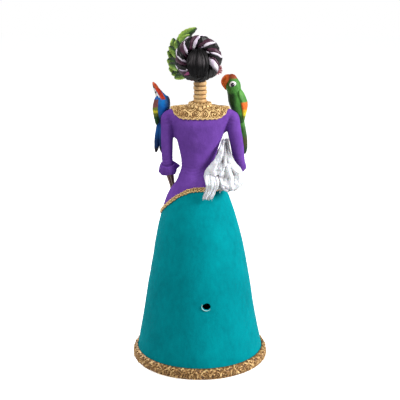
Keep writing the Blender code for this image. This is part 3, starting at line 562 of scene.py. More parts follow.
# ---------------------------------------------------------------- skirt
def make_skirt(material):
    """The paper shell, lumpy by hand, with its vent hole and the soft lip round it."""
    sides, steps, lining_every, hole_sides = 216, 84, 6, 40
    tops = [place_at(seam_height(TAU * i / sides) - 0.0003) for i in range(sides)]
    vent = vec(VENT_X, surface(place_at(VENT_HEIGHT), math.pi / 2).y, VENT_HEIGHT)

    def above_floor(point):
        point.z = max(point.z, 0.0)
        return point

    def face(k, i):
        angle, place = TAU * i / sides, tops[i] * k / steps
        point = surface(place, angle)
        swell = lumps(point, 28, 0.00045) + lumps(point, 75, 0.00018, 4) + lumps(point, 190, 0.00007, 8)
        swell *= min(1.0, k / 4, (steps - k) / 4)
        swell += 0.0005 * math.exp(-(((point - vent).length - VENT_RADIUS) / 0.0016) ** 2)
        return above_floor(surface_out(place, angle, swell))

    lining = grid(steps // lining_every + 1, sides, lambda k, i: above_floor(
        surface_out(tops[i] * (k * lining_every) / steps, TAU * i / sides, -WALL)))
    skirt = Clay().skin(grid(steps + 1, sides, face) + lining[::-1], loop=True).raw("skirt_paper")
    rim = ((-5 * WALL, 1.0), (-0.0002, 1.0), (0.001, 1.16), (4 * WALL, 1.3))

    def edge(k, i):
        (reach, grow), x, y = rim[k], math.cos(TAU * i / hole_sides), math.sin(TAU * i / hole_sides)
        return vent + vec(x, 0, y * 0.84) * VENT_RADIUS * grow * (1 + lumps(vec(x, y, 0), 1.3, 0.12, 5)) + BACK * reach

    punch = Clay().skin(grid(len(rim), hole_sides, edge)).raw("punch")
    hole = skirt.modifiers.new("hole", "BOOLEAN")
    hole.operation, hole.object = "DIFFERENCE", punch
    apply_modifiers(skirt)
    bpy.data.objects.remove(punch)
    return dress(skirt, material, "teal_paint", "skirt_shell", smooth=0, sharp=50)


def make_vent_rim(material):
    """The pale torn edge of paper that shows below and beside the vent hole."""
    path, radii, samples = [], [], 32
    for k in range(samples):
        share = k / (samples - 1)
        turn = math.radians(-140 + 175 * share)
        x, z = VENT_X + 1.14 * VENT_RADIUS * math.cos(turn), VENT_HEIGHT + 0.98 * VENT_RADIUS * math.sin(turn)
        place = place_at(z)
        _, width, _, _, lean = (between(values, place) for values in RING_VALUES)
        path.append(surface_out(place, math.acos((x - lean) / width), 0.0004))
        ragged = 1 + 0.35 * wander(k * 0.7, 1, 1)
        radii.append(0.00016 + 0.00075 * math.sin(math.pi * share) ** 0.7 * ragged)
    clay = Clay(lambda point, row, column: blend(srgb(168, 214, 212), srgb(70, 170, 174), noise.noise(point * 700)))
    clay.tube(path, radii, count=14, start=BACK, flat=0.55)
    return clay.finish("vent_torn_rim", material, "teal_paint", smooth=0)


# ---------------------------------------------------------------- lace
def thread(distance, width):
    """The rounded profile of a thread, 1 on its middle and 0 beside it."""
    return max(0.0, 1 - (distance / width) ** 2) ** 0.6


def scallops(u, v):
    """Arches of cord with a flower in each and beads between them. One arch a unit of u."""
    x = u - math.floor(u) - 0.5
    r = math.hypot(x, v - 0.4)
    turn = math.atan2(v - 0.4, x)
    arch = thread(math.hypot(x, v - 0.36) - 0.43, 0.085)
    flower = thread(r - 0.2 * (1 + 0.28 * math.cos(5 * turn)), 0.07)
    centre = thread(r, 0.085) * 1.1
    veins = 0.45 * thread(math.sin(5 * turn + 0.5), 0.5) if r < 0.18 else 0.0
    side = abs(x) - 0.5
    bead = thread(math.hypot(side, v - 0.8), 0.12)
    leaf = thread(math.hypot(side * 2.2, (v - 0.52) * 1.1), 0.16) * 0.8
    foot = thread(v - 0.03, 0.09)
    brim = thread(v - 0.93 + 0.05 * math.cos(TAU * x * 2), 0.07)
    return max(0.0, arch, flower, centre, veins, bead, leaf, foot, brim)


def scrolls(u, v):
    """Curling tendrils set in staggered rows, with buds between them."""
    row = math.floor(v)
    x, y = u + 0.5 * (row % 2), v - row
    side = 1 if math.floor(x) % 2 else -1
    x = x - math.floor(x) - 0.5
    y -= 0.5
    r, turn = math.hypot(x, y), math.atan2(y, x * side)
    curl = thread(((r / 0.2 - turn / TAU) % 1.0) - 0.5, 0.3) * (1.0 if r < 0.44 else 0.0)
    ring = thread(r - 0.46, 0.07)
    bud = thread(math.hypot(abs(x) - 0.5, abs(y) - 0.5), 0.17)
    return max(curl, ring, bud, thread(r, 0.07))


def lace_band(name, node, material, steps, sides, spot, inner, gain, base):
    """A closed band of lace. spot(row, column) gives a point of its face and how far it stands out. gain and base turn
    that into the gold's painted shade and highlight; a higher base paints the whole band lighter.
    """
    face = grid(steps + 1, sides, spot)
    clay = Clay().skin([[point for point, _ in line] for line in face] + inner, loop=True,
                       # How far the lace stands out, times gain plus base, sets its painted shade and painted
                       # highlight.
                       relief=lambda r, c: face[r][c][1] * gain + base if r <= steps else 0.0)
    return clay.finish(name, material, "gold_paint", node, smooth=0, sharp=80)


def make_hem(material):
    """Paper lace glued round the foot: a rounded band with its pattern standing out."""
    sides, steps, arches = 900, 26, 44
    places = [place_at(HEM_HEIGHT * k / steps) for k in range(steps + 1)]

    def spot(k, i):
        v, angle = k / steps, TAU * i / sides
        sway = vec(math.cos(angle) * 14, math.sin(angle) * 14, v * 1.6)
        u = angle / TAU * arches + 0.34 * noise.noise(sway)
        height = scallops(u, v + 0.1 * noise.noise(sway + UP * 5)) * (0.85 + 0.7 * noise.noise(sway * 2.3))
        edge = min(1.0, v * 9, (1 - v) * 7)
        point = surface(places[k], angle)
        bulge = HEM_RADIUS - 0.0017 - 0.003 * max(0.0, v - 0.35) ** 1.5 - point.xy.length
        lift = bulge * (0.35 + 0.65 * edge**0.5) + 0.0016 * height * edge
        scallop = 0.0006 * math.cos(TAU * u) * (v**3)
        point.z = HEM_HEIGHT * v + scallop * min(1, (1 - v) * 9 + 0.6)
        point += vec(math.cos(angle), math.sin(angle), 0) * lift
        return point, height

    inner = [[surface_out(places[k], TAU * i / sides, 0.0006) for i in range(sides)] for k in range(steps, -1, -13)]
    for point in inner[-1]:
        point.z = 0.0
    return lace_band("hem_lace", "hem_trim", material, steps, sides, spot, inner, 0.62, 0.3)


def make_waist_trim(material):
    """A narrow lace braid over the slanting seam: two cords with loops between them."""
    sides, steps, loops, half = 720, 16, 48, 0.0028
    middles = [(TAU * i / sides, place_at(seam_height(TAU * i / sides))) for i in range(sides)]
    ups = [(surface(place + 0.05, angle) - surface(place - 0.05, angle)).normalized() for angle, place in middles]

    def spot(k, i):
        v, (angle, place) = k / steps, middles[i]
        sway = wander(math.cos(angle) * 6, math.sin(angle) * 6, 2)
        u = angle / TAU * loops + 0.3 * sway
        x = u - math.floor(u) - 0.5
        ring = thread(math.hypot(x, (v - 0.5) * 1.05) - 0.3, 0.13)
        cords = max(thread(v - 0.12, 0.13), thread(v - 0.88, 0.13)) * (0.75 + 0.25 * math.cos(TAU * u * 2))
        height = max(ring, cords, thread(math.hypot(x, v - 0.5), 0.12))
        edge = min(1.0, v * 7, (1 - v) * 7)
        reach = (v - 0.5) * 2 * half * (1 + 0.12 * math.cos(TAU * u) + 0.22 * sway)
        lift = 0.0004 + edge**0.5 * (0.0007 + 0.0011 * height)
        return surface_out(place, angle, lift) + ups[i] * reach, height

    inner = [[surface_out(place, angle, 0.00035) + up * half * way * 0.9 for (angle, place), up in zip(middles, ups)]
             for way in (1, -1)]
    return lace_band("waist_lace", "waist_trim", material, steps, sides, spot, inner, 0.9, 0.28)


def make_yoke(material):
    """The lace collar over the shoulders, with tendrils, a beaded edge and raised cords made pale by painted
    highlight.
    """
    sides, steps, top = 560, 44, TOP_RING - 0.35
    lows = [place_at(yoke_edge(TAU * i / sides) + 0.0004 * math.cos(i * TAU / sides * 40)) for i in range(sides)]
    travel, last = [0.0] * sides, [None] * sides  # the way up each column so far

    def spot(k, i):
        angle, place = TAU * i / sides, lows[i] + (top - lows[i]) * k / steps
        base = surface(place, angle)
        travel[i] += (base - last[i]).length if k else 0.0
        last[i] = base
        u = base.x / 0.0104 + (0 if base.y > 0 else 0.37) + 0.26 * noise.noise(base * 95)
        height = scrolls(u, travel[i] / 0.0088 - 0.2 + 0.22 * noise.noise(base * 95 + UP * 7))
        height *= 0.8 + 0.5 * noise.noise(base * 210)
        height = max(height, thread(travel[i] - 0.0011, 0.0011) * (0.8 + 0.2 * math.cos(i * TAU / sides * 120)))
        edge = min(1.0, k / 3, (steps - k) / 3)
        return surface_out(place, angle, 0.0007 + edge**0.5 * (0.0008 + 0.0013 * height)), height

    inner = [[surface_out(lows[i] + (top - lows[i]) * k / 6, TAU * i / sides, 0.0005) for i in range(sides)]
             for k in range(6, -1, -1)]
    # A higher base than the other lace bands paints this collar's gold lighter all over, as painted light.
    return lace_band("yoke_lace", "lace_yoke", material, steps, sides, spot, inner, 0.66, 0.46)


def make_frill(material):
    """The raised ring of lace round the foot of the neck: petals in two rows with beads."""
    sides, steps, parting = 240, 29, 0.42
    radii, rises = (catmull(line, steps + 1) for line in (
        (0.0082, 0.0088, 0.01, 0.0118, 0.013, 0.0134, 0.013, 0.0106, 0.0086),
        (0.306, 0.3078, 0.3084, 0.3078, 0.3064, 0.3048, 0.3036, 0.304, 0.3046)))

    def spot(k, i):
        v, angle = k / steps, TAU * i / sides
        petal = abs(math.cos(angle * 9 + (0.5 * math.pi if v > parting else 0)))
        ridge = thread(petal - 1, 0.75) * min(1, 4 * abs(v - parting) + 0.2)
        bead = thread(v - parting, 0.08) * abs(math.cos(angle * 26))
        height = max(ridge * (1 if v < 0.8 else 0), bead)
        grow = 0.001 * height + lumps(vec(math.cos(angle), math.sin(angle), v), 3, 0.0004)
        drop = surface(place_where(lambda p: surface(p, angle).xy.length > radii[k], TOP_RING - 5.0), angle).z
        lean = min(0.0, drop - 0.3028) * max(0.0, (v - 0.25))
        return vec(math.cos(angle) * (radii[k] + grow), math.sin(angle) * (radii[k] + grow),
                   rises[k] + grow * (1 - v) + lean), height

    return lace_band("neck_lace", "neck_frill", material, steps, sides, spot, [], 0.85, 0.35)


# ---------------------------------------------------------------- bodice and sleeves
def arm_path(shoulder, elbow, bulge, cuff_way):
    out = 1 if shoulder.x > 0 else -1
    return [shoulder + vec(-0.006 * out, 0, 0.0006), shoulder + vec(0.0014 * out, 0, -0.005),
            shoulder.lerp(elbow, 0.22) + vec(bulge * out, 0, 0),
            shoulder.lerp(elbow, 0.55) + vec(bulge * 0.9 * out, 0, 0),
            shoulder.lerp(elbow, 0.82) + vec(bulge * 0.5 * out, 0, 0),
            elbow, elbow + cuff_way.normalized() * 0.006]


def make_bodice(material):
    """Torso and sleeves as one skin of paper, as the figure has them, with puckers and creases."""
    sides, steps = 120, 60
    angles = [TAU * i / sides for i in range(sides)]
    feet = [(angle, place_at(seam_height(angle) + 0.0003)) for angle in angles]
    clay = Clay().skin([[surface(low + (TOP_RING - 0.02 - low) * k / steps, angle) for angle, low in feet]
                        for k in range(steps + 1)])
    clay.tube(arm_path(SHOULDER_LEFT, ELBOW_LEFT, 0.0015, CUFF_LEFT),
              (0.0046, 0.007, 0.0073, 0.0068, 0.0064, 0.0062, 0.0061), samples=30, count=28)
    clay.tube(arm_path(SHOULDER_RIGHT, ELBOW_RIGHT, 0.0005, CUFF_RIGHT),
              (0.0046, 0.0072, 0.0079, 0.0077, 0.007, 0.0064, 0.0061), samples=30, count=28)
    clay.tube(((0.029, 0, 0.286), (0.0284, 0, 0.276), (0.0281, 0, 0.2676)), (0.005, 0.0032, 0.0016), samples=12)
    clay.tube(((-0.029, 0, 0.286), (-0.0284, 0, 0.28), (-0.028, 0, 0.2752)), (0.005, 0.0036, 0.0024), samples=12)
    bodice = clay.raw("bodice_paper")
    merge(bodice, 0.00085, 0.6, 14)
    normals = [v.normal.copy() for v in bodice.data.vertices]
    for vertex, normal in zip(bodice.data.vertices, normals):
        p = vertex.co
        lift = 0.00022 + lumps(p, 60, 0.00035) + lumps(p, 150, 0.00016, 3) + lumps(p, 420, 0.00006, 7)
        side = math.copysign(1, p.x)
        armhole = vec(p.x - side * 0.0335, p.y, p.z - 0.288)
        spread = math.exp(-(armhole.length / 0.0085) ** 2)
        pucker = math.sin(math.atan2(armhole.y, armhole.z) * 11 + side) * math.sin(armhole.length * 900)
        lift += 0.00055 * pucker * spread
        for centre, half in ((0.237, 0.004), (0.242, 0.003)):
            arm = math.exp(-((p.z - centre - 0.12 * p.y) / half) ** 2) * (abs(p.x) > 0.028)
            lift += 0.00013 * math.sin(p.z * 1700 + p.y * 700 + p.x * 300) * arm
        waist = math.exp(-((p.z - 0.229 - 0.1 * p.x) / 0.007) ** 2) * (abs(p.x) < 0.028)
        lift += 0.00016 * math.sin(p.z * 1750 + 2.0 * math.sin(p.x * 220) + p.x * 260) * waist
        vertex.co = p + normal * lift
    return dress(bodice, material, "purple_paint", "bodice_shell", "left_sleeve", "right_sleeve", smooth=0)


def make_cuff(name, foot, direction, radius, end_radius, length, material, lobes, wave, node, point_way=None):
    """A bell of paper whose edge is folded into uneven lobes, with one longer point."""
    direction = direction.normalized()
    across = direction.orthogonal().normalized()
    along = direction.cross(across)
    aim = math.atan2(point_way.dot(along), point_way.dot(across)) if point_way else 0.0
    count, steps, thick = 120, 16, 0.0011

    def spot(layer, k, i):
        share, angle = k / steps, TAU * i / count
        ripple = math.sin(lobes * angle + 0.6 * math.sin(angle)) * share**1.3
        fold = math.sin(3 * lobes * angle + 2) * 0.0003 * share
        swell = radius + (end_radius - radius) * share**0.7 + wave * ripple + fold
        beak = math.exp(-(((angle - aim + math.pi) % TAU - math.pi) / 0.3) ** 2) if point_way else 0.0
        swell += 0.005 * beak * share
        swell += thick * (1 - 0.45 * share) * layer + 0.0004 * math.sin(share * math.pi) * layer
        reach = length * share + 0.001 * math.cos(lobes * angle + 1.0) * share
        reach += 0.0004 * wander(math.cos(angle) * 4, math.sin(angle) * 4, share)
        return foot + direction * reach + (across * math.cos(angle) + along * math.sin(angle)) * swell

    inner, outer = (grid(steps + 1, count, lambda k, i: spot(layer, k, i)) for layer in (0, 1))
    return Clay().skin(outer + inner[::-1], loop=True).finish(name, material, "purple_paint", node, smooth=0)


# ---------------------------------------------------------------- bones
OLD_BONE, PALE_BONE, DARK_BONE = srgb(200, 152, 94), srgb(232, 194, 134), srgb(92, 54, 24)


def bone_tint(point, row=0, column=0):
    share = 0.5 + noise.noise(point * 120) * 0.9
    return blend(OLD_BONE, PALE_BONE, share)


def make_neck(material):
    """Seven vertebrae: spools with thick rims, each turned and tilted a little, brown in the joints."""
    steps, sides, pitch = 26, 56, (NECK_TOP - NECK_FOOT) / VERTEBRAE
    radii = catmull((0.0036, 0.006, 0.0069, 0.0074, 0.0076, 0.00745, 0.0069, 0.006, 0.0036), steps)
    rises = catmull((0.02, 0.02, 0.07, 0.22, 0.48, 0.78, 0.94, 0.985, 0.985), steps)
    for n in range(VERTEBRAE):
        tilt = vec(0.03 * math.sin(n * 2.1), 0.035 * math.cos(n * 1.3))
        shift = vec(0.00025 * math.sin(n * 3.7), 0.00025 * math.cos(n * 2.9), 0)

        def spot(k, i):
            angle = TAU * i / sides
            out = vec(math.cos(angle), math.sin(angle), 0)
            waves = 1 + 0.02 * math.cos(3 * angle + n) + 0.012 * math.cos(7 * angle - n)
            radius = radii[k] * (waves if radii[k] > 0.005 else 1)
            z = NECK_FOOT + pitch * (n + rises[k]) + radius * (tilt.x * out.x + tilt.y * out.y) * 0.55
            return vec(out.x * radius, out.y * radius, z) + shift

        def tint(point, row, column):
            groove = abs(rises[row] - 0.5) * 2
            colour = blend(bone_tint(point), DARK_BONE, (groove - 0.62) * 2.4)
            return blend(colour, DARK_BONE, 0.35 * (wander(column * 0.5, row * 0.08, n) - 0.1))

        Clay().skin(grid(steps, sides, spot), tint, loop=True).finish(
            f"neck_bone_{n + 1}", material, "bone_paint", f"vertebra_{n + 1}", smooth=0)


def make_forearm(name, elbow, wrist, radius, side, material, node):
    """Two bones side by side, close together, that swell at both ends; painted a dark brown, with painted shade on the
    -X side and between the bones.
    """
    along = (wrist - elbow).normalized()
    length = (wrist - elbow).length
    across = along.cross(vec(0, 0.35, 1)).normalized() * side
    clay = Clay()
    for way, thick in ((-1, 1.0), (1, 0.86)):
        path, radii = [], []
        for share, spread, size in ((0.02, 0.4, 1.06), (0.16, 0.42, 1.04), (0.34, 0.42, 0.94), (0.55, 0.38, 0.74),
                                    (0.76, 0.34, 0.58), (0.9, 0.34, 0.58), (0.97, 0.32, 0.6)):
            path.append(elbow + along * length * share + across * radius * spread * way)
            radii.append(radius * size * thick)

        def tint(point, row, column):
            share = (point - elbow).dot(along) / length
            ends = max(abs(share - 0.5) * 2 - 0.45, 0) * 0.9
            gap_shade = 1 - min(1, abs((point - elbow).dot(across)) / (radius * 0.5))
            # Painted shade: darker toward the -X side and in the gap between the two bones. The colour is also darker
            # toward both ends and paler toward the wrist.
            colour = blend(srgb(120, 64, 40), srgb(156, 98, 64), 0.5 + noise.noise(point * 140))
            colour = blend(colour, srgb(70, 28, 18), 0.5 - 0.5 * (point - elbow).x / radius)
            return blend(blend(colour, PALE_BONE, share * 2 - 1.3), srgb(56, 26, 18), gap_shade * 0.5 + ends * 0.2)

        clay.tube(path, radii, tint, samples=34, count=20)
    return clay.finish(name, material, "bone_paint", node, smooth=0)


def make_hand(name, wrist, direction, palm_normal, curl, material, node):
    """Wrist bones, five bones of the palm, and fingers of two or three joints."""
    direction = direction.normalized()
    palm_normal = (palm_normal - direction * palm_normal.dot(direction)).normalized()
    across = direction.cross(palm_normal)
    start = wrist + direction * 0.0006
    clay = Clay(bone_tint)
    for x, y in ((-1.3, 0.4), (0, 0.2), (1.3, 0.4), (-0.7, 1.7), (0.8, 1.7)):
        clay.blob(start + across * x * 0.001 + direction * y * 0.001, (0.0011, 0.001, 0.001), rows=6, count=10)
    for spread, length in ((-1.5, 0.0105), (-0.5, 0.0122), (0.5, 0.0118), (1.5, 0.0095)):
        knuckle = start + direction * 0.0072 + across * spread * 0.0019
        clay.tube([start + direction * 0.0024 + across * spread * 0.0011,
                   start + direction * 0.0048 + across * spread * 0.0015, knuckle],
                  (0.00085, 0.00058, 0.00092), count=10, samples=8)
        aim = (direction + across * spread * 0.07).normalized()
        bend = palm_normal * curl
        joints = [knuckle + aim * 0.0006]
        for share, drop in ((0.42, 0.09), (0.7, 0.23), (0.92, 0.42)):
            joints.append(knuckle + aim * length * share + bend * length * drop)
        for k in range(3):
            near, far = joints[k].lerp(joints[k + 1], 0.1), joints[k].lerp(joints[k + 1], 0.9)
            size = 0.00092 - 0.00012 * k
            clay.tube([near, near.lerp(far, 0.5), far], (size, size * 0.68, size * 0.95), count=10, samples=7)
    root = start + direction * 0.0026 + across * -0.0026
    tip = root + direction * 0.0062 - across * 0.0044 + palm_normal * curl * 0.0015
    for near, far in ((0.0, 0.45), (0.5, 0.95)):
        a, b = root.lerp(tip, near), root.lerp(tip, far)
        clay.tube([a, a.lerp(b, 0.5), b], (0.00105, 0.00075, 0.001), count=10, samples=7)
    return clay.finish(name, material, "bone_paint", node, smooth=0)


# ---------------------------------------------------------------- head
BONE_WHITE, SOCKET_DARK = srgb(240, 232, 212), srgb(38, 26, 26)
EYES = [vec(side * 0.0074, -0.0205, 0.358) for side in (-1, 1)]


def skull_tint(point):
    """Bone white, dark in the hollows, with plain folk ornament: petals, dots and leaves."""
    colour = blend(BONE_WHITE, srgb(216, 196, 160), 0.5 + noise.noise(point * 90))
    if point.y > -0.006:
        return colour
    for side, eye in zip((-1, 1), EYES):
        x, z = (point.x - eye.x) * side, point.z - eye.z
        r, turn = math.hypot(x, z), math.atan2(z, x)
        rim = 0.0068 + 0.0009 * math.cos(10 * turn)
        if r < 0.0047:
            return SOCKET_DARK
        if r < rim:
            return blend(srgb(196, 48, 92), srgb(232, 120, 60), 0.5 + 0.5 * math.cos(10 * turn))
        if r < rim + 0.0007:
            return srgb(40, 120, 128)
    if math.hypot(point.x / 0.0021, (point.z - 0.3505) / 0.0031) < 1 and abs(point.x) > 0.0002:
        return SOCKET_DARK
    x, z = point.x, point.z - 0.369
    r, turn = math.hypot(x, z), math.atan2(z, x)
    if r < 0.0012:
        return srgb(236, 186, 60)
    if r < 0.0038 * (0.72 + 0.28 * math.cos(5 * turn - math.pi / 2)):
        return srgb(70, 80, 170)
    for side in (-1, 1):
        x, z = point.x * side - 0.0108, point.z - 0.3478
        if math.hypot(x, z) < 0.0022 and abs(math.hypot(x, z) - 0.0013) > 0.0004:
            return srgb(214, 70, 84)
        for step in range(4):
            if math.hypot(point.x * side - 0.005 - 0.0026 * step, point.z - 0.3672 - 0.0004 * step) < 0.0006:
                return srgb(40, 120, 128)
    return colour


def make_skull(material):
    """A plain rounded skull: brow, cheekbones, hollow eyes and nose, and two rows of teeth."""
    clay = Clay()
    clay.blob(SKULL_CENTRE, SKULL_RADII, rows=36, count=56)
    clay.tube([(0, -0.0085, 0.36), (0, -0.009, 0.352), (0, -0.0095, 0.3455), (0, -0.0095, 0.3428)],
              (0.015, 0.014, 0.0112, 0.01), samples=12, count=32, ends=False)
    for side in (-1, 1):
        clay.blob(vec(side * 0.0112, -0.015, 0.3508), (0.0044, 0.0044, 0.0032), rows=10, count=16)
        clay.tube([(side * 0.002, -0.0212, 0.363), (side * 0.0072, -0.0208, 0.3648), (side * 0.0125, -0.017, 0.3622)],
                  (0.0016, 0.002, 0.0016), samples=12, count=12)
    skull = clay.raw("skull_bone")
    merge(skull, 0.00055, 0.6, 8)
    hollows = [(eye + vec(0, -0.0012, 0), vec(0.005, 0.0062, 0.005)) for eye in EYES]
    hollows.append((vec(-0.001, -0.0222, 0.3502), vec(0.0013, 0.0036, 0.0028)))
    hollows.append((vec(0.001, -0.0222, 0.3502), vec(0.0013, 0.0036, 0.0028)))
    for vertex in skull.data.vertices:
        for centre, radii in hollows:
            away = vertex.co - centre
            flat = (away.x / radii.x) ** 2 + (away.z / radii.z) ** 2
            if flat < 1 and away.y < radii.y:
                vertex.co.y = max(vertex.co.y, centre.y + radii.y * math.sqrt(1 - flat))
    merge(skull, 0.00045, 0.5, 3)
    tints = [skull_tint(v.co) for v in skull.data.vertices]
    mesh_tint = skull.data.attributes.new("tint", "FLOAT_COLOR", "POINT")
    mesh_tint.data.foreach_set("color", [v for colour in tints for v in (*colour, 1.0)])
    dress(skull, material, "skull_paint", "skull", smooth=0)

    jaw = Clay(lambda point, row, column: blend(BONE_WHITE, srgb(216, 196, 160), 0.4 + noise.noise(point * 90)))
    side = [(0.0146, -0.001, 0.3484), (0.0132, -0.0052, 0.3408), (0.0088, -0.0142, 0.3368)]
    jaw.tube([*side, (0, -0.0186, 0.3352), *[(-x, y, z) for x, y, z in side[::-1]]],
             (0.0015, 0.0021, 0.0024, 0.0029, 0.0024, 0.0021, 0.0015), samples=60, count=20, start=UP)
    arc = [vec(math.sin(turn) * 0.01, -0.0084 - math.cos(turn) * 0.0096, 0.338)
           for turn in (-1.3, -0.9, -0.45, 0, 0.45, 0.9, 1.3)]
    jaw.tube(arc, (0.0018, 0.0022, 0.0023, 0.0024, 0.0023, 0.0022, 0.0018), samples=40, count=18, start=UP)
    jaw.blob(vec(0, -0.0192, 0.3346), (0.0044, 0.0024, 0.0024), rows=10, count=18)
    for level in (0.3412, 0.3439):
        for k in range(10):
            turn = (k - 4.5) / 4.5 * 0.98
            middle = vec(math.sin(turn) * 0.0104, -0.0088 - math.cos(turn) * 0.01, level)
            jaw.blob(middle, (0.001, 0.00075, 0.0015), srgb(246, 240, 224), rows=8, count=12,
                     turn=Matrix.Rotation(turn, 3, "Z"))
    jaw.finish("jaw_bone", material, "skull_paint", "jaw", smooth=0)


# BLACK_WORN_AND_SHEEN is the grey of worn paint on the hair; on the bun, made brighter, it is a painted sheen.
BLACK, BLACK_WORN_AND_SHEEN = (0.003, 0.0026, 0.003), (0.026, 0.023, 0.024)


def combed(centre, radii, count, steps, comb, pole="z"):
    """An ellipsoid whose rows run from pole to pole, raised by comb(rise, angle, way)."""
    def spot(k, i):
        rise, angle = math.pi * (k + 0.1) / (steps + 0.2), TAU * i / count
        way = vec(math.sin(rise) * math.cos(angle), math.sin(rise) * math.sin(angle), math.cos(rise))
        way = way.xzy if pole == "y" else way
        lift = comb(rise, angle, way)
        return centre + Vector([way[j] * (radii[j] + lift) for j in range(3)])

    return grid(steps + 1, count, spot)


def make_hair(material):
    """Black hair combed back from the brow and down to the nape, in fine ridges."""
    brow, slant, reach = SKULL_CENTRE + vec(0, -0.0135, 0.01), math.radians(10), 0.015

    def comb(rise, angle, way):
        ridges = math.sin(angle * 64 + 3 * noise.noise(way * 3)) * 0.00016 + math.sin(angle * 23 + 1) * 0.00014
        return -0.0002 + ridges * min(1, math.sin(rise) * 3)

    def clear_of_face(point):
        local = point - brow
        ahead = local.y * math.cos(slant) + local.z * math.sin(slant)
        level = -local.y * math.sin(slant) + local.z * math.cos(slant)
        if level < 0 and ahead < reach:
            inward = (SKULL_CENTRE - point).normalized()
            point = point + inward * min(0.0045, min(-level, reach - ahead) * 1.6)
        return point

    def tint(point, row, column):
        return blend(BLACK, BLACK_WORN_AND_SHEEN, 0.35 + 0.6 * wander(column * 0.35, row * 0.03, 2))

    rows = combed(SKULL_CENTRE, SKULL_RADII + Vector((HAIR_THICKNESS,) * 3), 260, 64, comb, "y")
    rows = [[clear_of_face(point) for point in row] for row in rows]
    return Clay().skin(rows, tint).finish("hair_combed", material, "hair_paint", "hair_cap", smooth=0)


def make_bun(material):
    """The knot of hair: strands fan from its top, dip in the middle and tuck under below."""
    count, strands = 200, 40

    def comb(rise, angle, way):
        ridges = math.sin(angle * strands + 5 * noise.noise(way * 2.2)) * 0.0003 + math.sin(angle * 15 + 2) * 0.00034
        return ridges * min(1.0, math.sin(rise) * 2.2)

    def tint(point, row, column):
        # Painted sheen: a band across the upper part of the bun, streaked along the strands; painted shade darkens its
        # lower part.
        rise = (BUN_CENTRE.z + 0.004 - point.z) / 0.011
        painted_sheen = math.exp(-((point.z - BUN_CENTRE.z - 0.0045) / 0.0052) ** 2)
        streak = wander(column * 0.45, row * 0.02, 7)
        groove = 0.5 + 0.5 * math.sin(TAU * column / count * strands)
        shade = (0.02 + painted_sheen * (0.6 + 2.6 * streak)) * (0.3 + 0.9 * groove) - 0.2 * max(0, rise)
        return blend(BLACK, tuple(3.2 * value for value in BLACK_WORN_AND_SHEEN), shade)

    rows = combed(BUN_CENTRE, BUN_RADII, count, 60, comb)
    return Clay().skin(rows, tint).finish("bun_combed", material, "hair_paint", "hair_bun", smooth=0)


PLUM, PIPING, ROSE_PATCH = srgb(84, 44, 66), srgb(240, 232, 240), srgb(170, 84, 130)
STRANDS = (  # phase in turns, thickness, how far it stands out, colour, how many grooves
    (0.0, 0.0041, 0.003, BLACK, 9),
    (0.27, 0.0031, 0.0036, PLUM, 5),
    (0.425, 0.0014, 0.006, PIPING, 0),
)


def make_braid(material):
    """A rope of hair and ribbon coiled round the bun. Each kind of strand goes round twice."""
    twist = 4.5
    clay = Clay()
    for phase, thick, stand, colour, grooves in STRANDS:
        path = []
        samples = 420
        for k in range(samples):
            around = 2 * TAU * k / samples
            turn = -twist * around + phase * TAU + 2.1
            out = vec(math.cos(around), 0, math.sin(around))
            centre = BRAID_CENTRE + out * BRAID_RADIUS
            path.append(centre + (out * math.cos(turn) + BACK * math.sin(turn)) * stand)
        radii = [thick * (1 + 0.1 * math.sin(k * 0.37) + 0.06 * math.sin(k * 0.91)) for k in range(samples)]
        if colour == PIPING:
            for k in range(samples):
                near = (720 * k / samples) % 360
                radii[k] *= 1 + 0.28 * math.exp(-((near - 90) / 34) ** 2)
                radii[k] *= 1 + 1.9 * math.exp(-((near - 196) / 12) ** 2) if k < samples / 2 else 1.0

        def shape(angle, share):
            twist = 0.06 * math.cos(angle * grooves + share * 40)
            twist += 0.035 * math.cos(angle * (grooves + 5) - share * 25)
            return 1 + twist * bool(grooves)

        def tint(point, row, column):
            around = math.degrees(math.atan2(point.z - BRAID_CENTRE.z, point.x - BRAID_CENTRE.x)) % 360
            shade = blend(colour, BLACK, 0.25 + 0.5 * wander(column * 0.6, row * 0.05, 3))
            if colour == PIPING:
                shade = blend(colour, srgb(196, 176, 200), 0.5 + noise.noise(point * 200))
            elif column % 4 == 0:
                shade = tuple(value * 0.55 for value in shade)
            if 205 < around < 322:
                hidden = min((around - 205) / 12, (322 - around) / 12, 1)
                patch = colour == PLUM and 285 < around < 312
                shade = blend(shade, ROSE_PATCH if patch else BLACK, hidden)
            return shade

        clay.skin(tube_rows(path, radii, 36 if grooves else 12, BACK, loop=True, shape=shape), tint, loop=True)
    return clay.finish("braid_coil", material, "ribbon_paint", "ribbon_braid", smooth=0)


FLOWERS = (
    ("rose_crown", vec(0.05, -0.78, 0.66), 0.008, srgb(188, 34, 40), srgb(232, 92, 70), "red_paint"),
    ("rose_left", vec(0.62, -0.62, 0.46), 0.0082, srgb(206, 60, 116), srgb(244, 170, 190), "pink_paint"),
    ("rose_right", vec(-0.6, -0.62, 0.48), 0.0074, srgb(224, 110, 40), srgb(248, 190, 110), "orange_paint"),
    ("rose_temple", vec(0.93, -0.36, 0.0), 0.0085, srgb(216, 104, 52), srgb(244, 178, 120), "orange_paint"),
    ("rose_cheek", vec(0.96, 0.02, -0.62), 0.0078, srgb(150, 62, 52), srgb(196, 120, 96), "red_paint"),
    ("rose_ear", vec(-0.97, 0.2, -0.6), 0.0096, srgb(168, 92, 96), srgb(226, 176, 184), "pink_paint"),
)


PETAL_TURNS = ((6, 0.98, 1.15, 0.02), (5, 0.8, 0.8, 0.16), (4, 0.58, 0.48, 0.3), (3, 0.38, 0.22, 0.4))


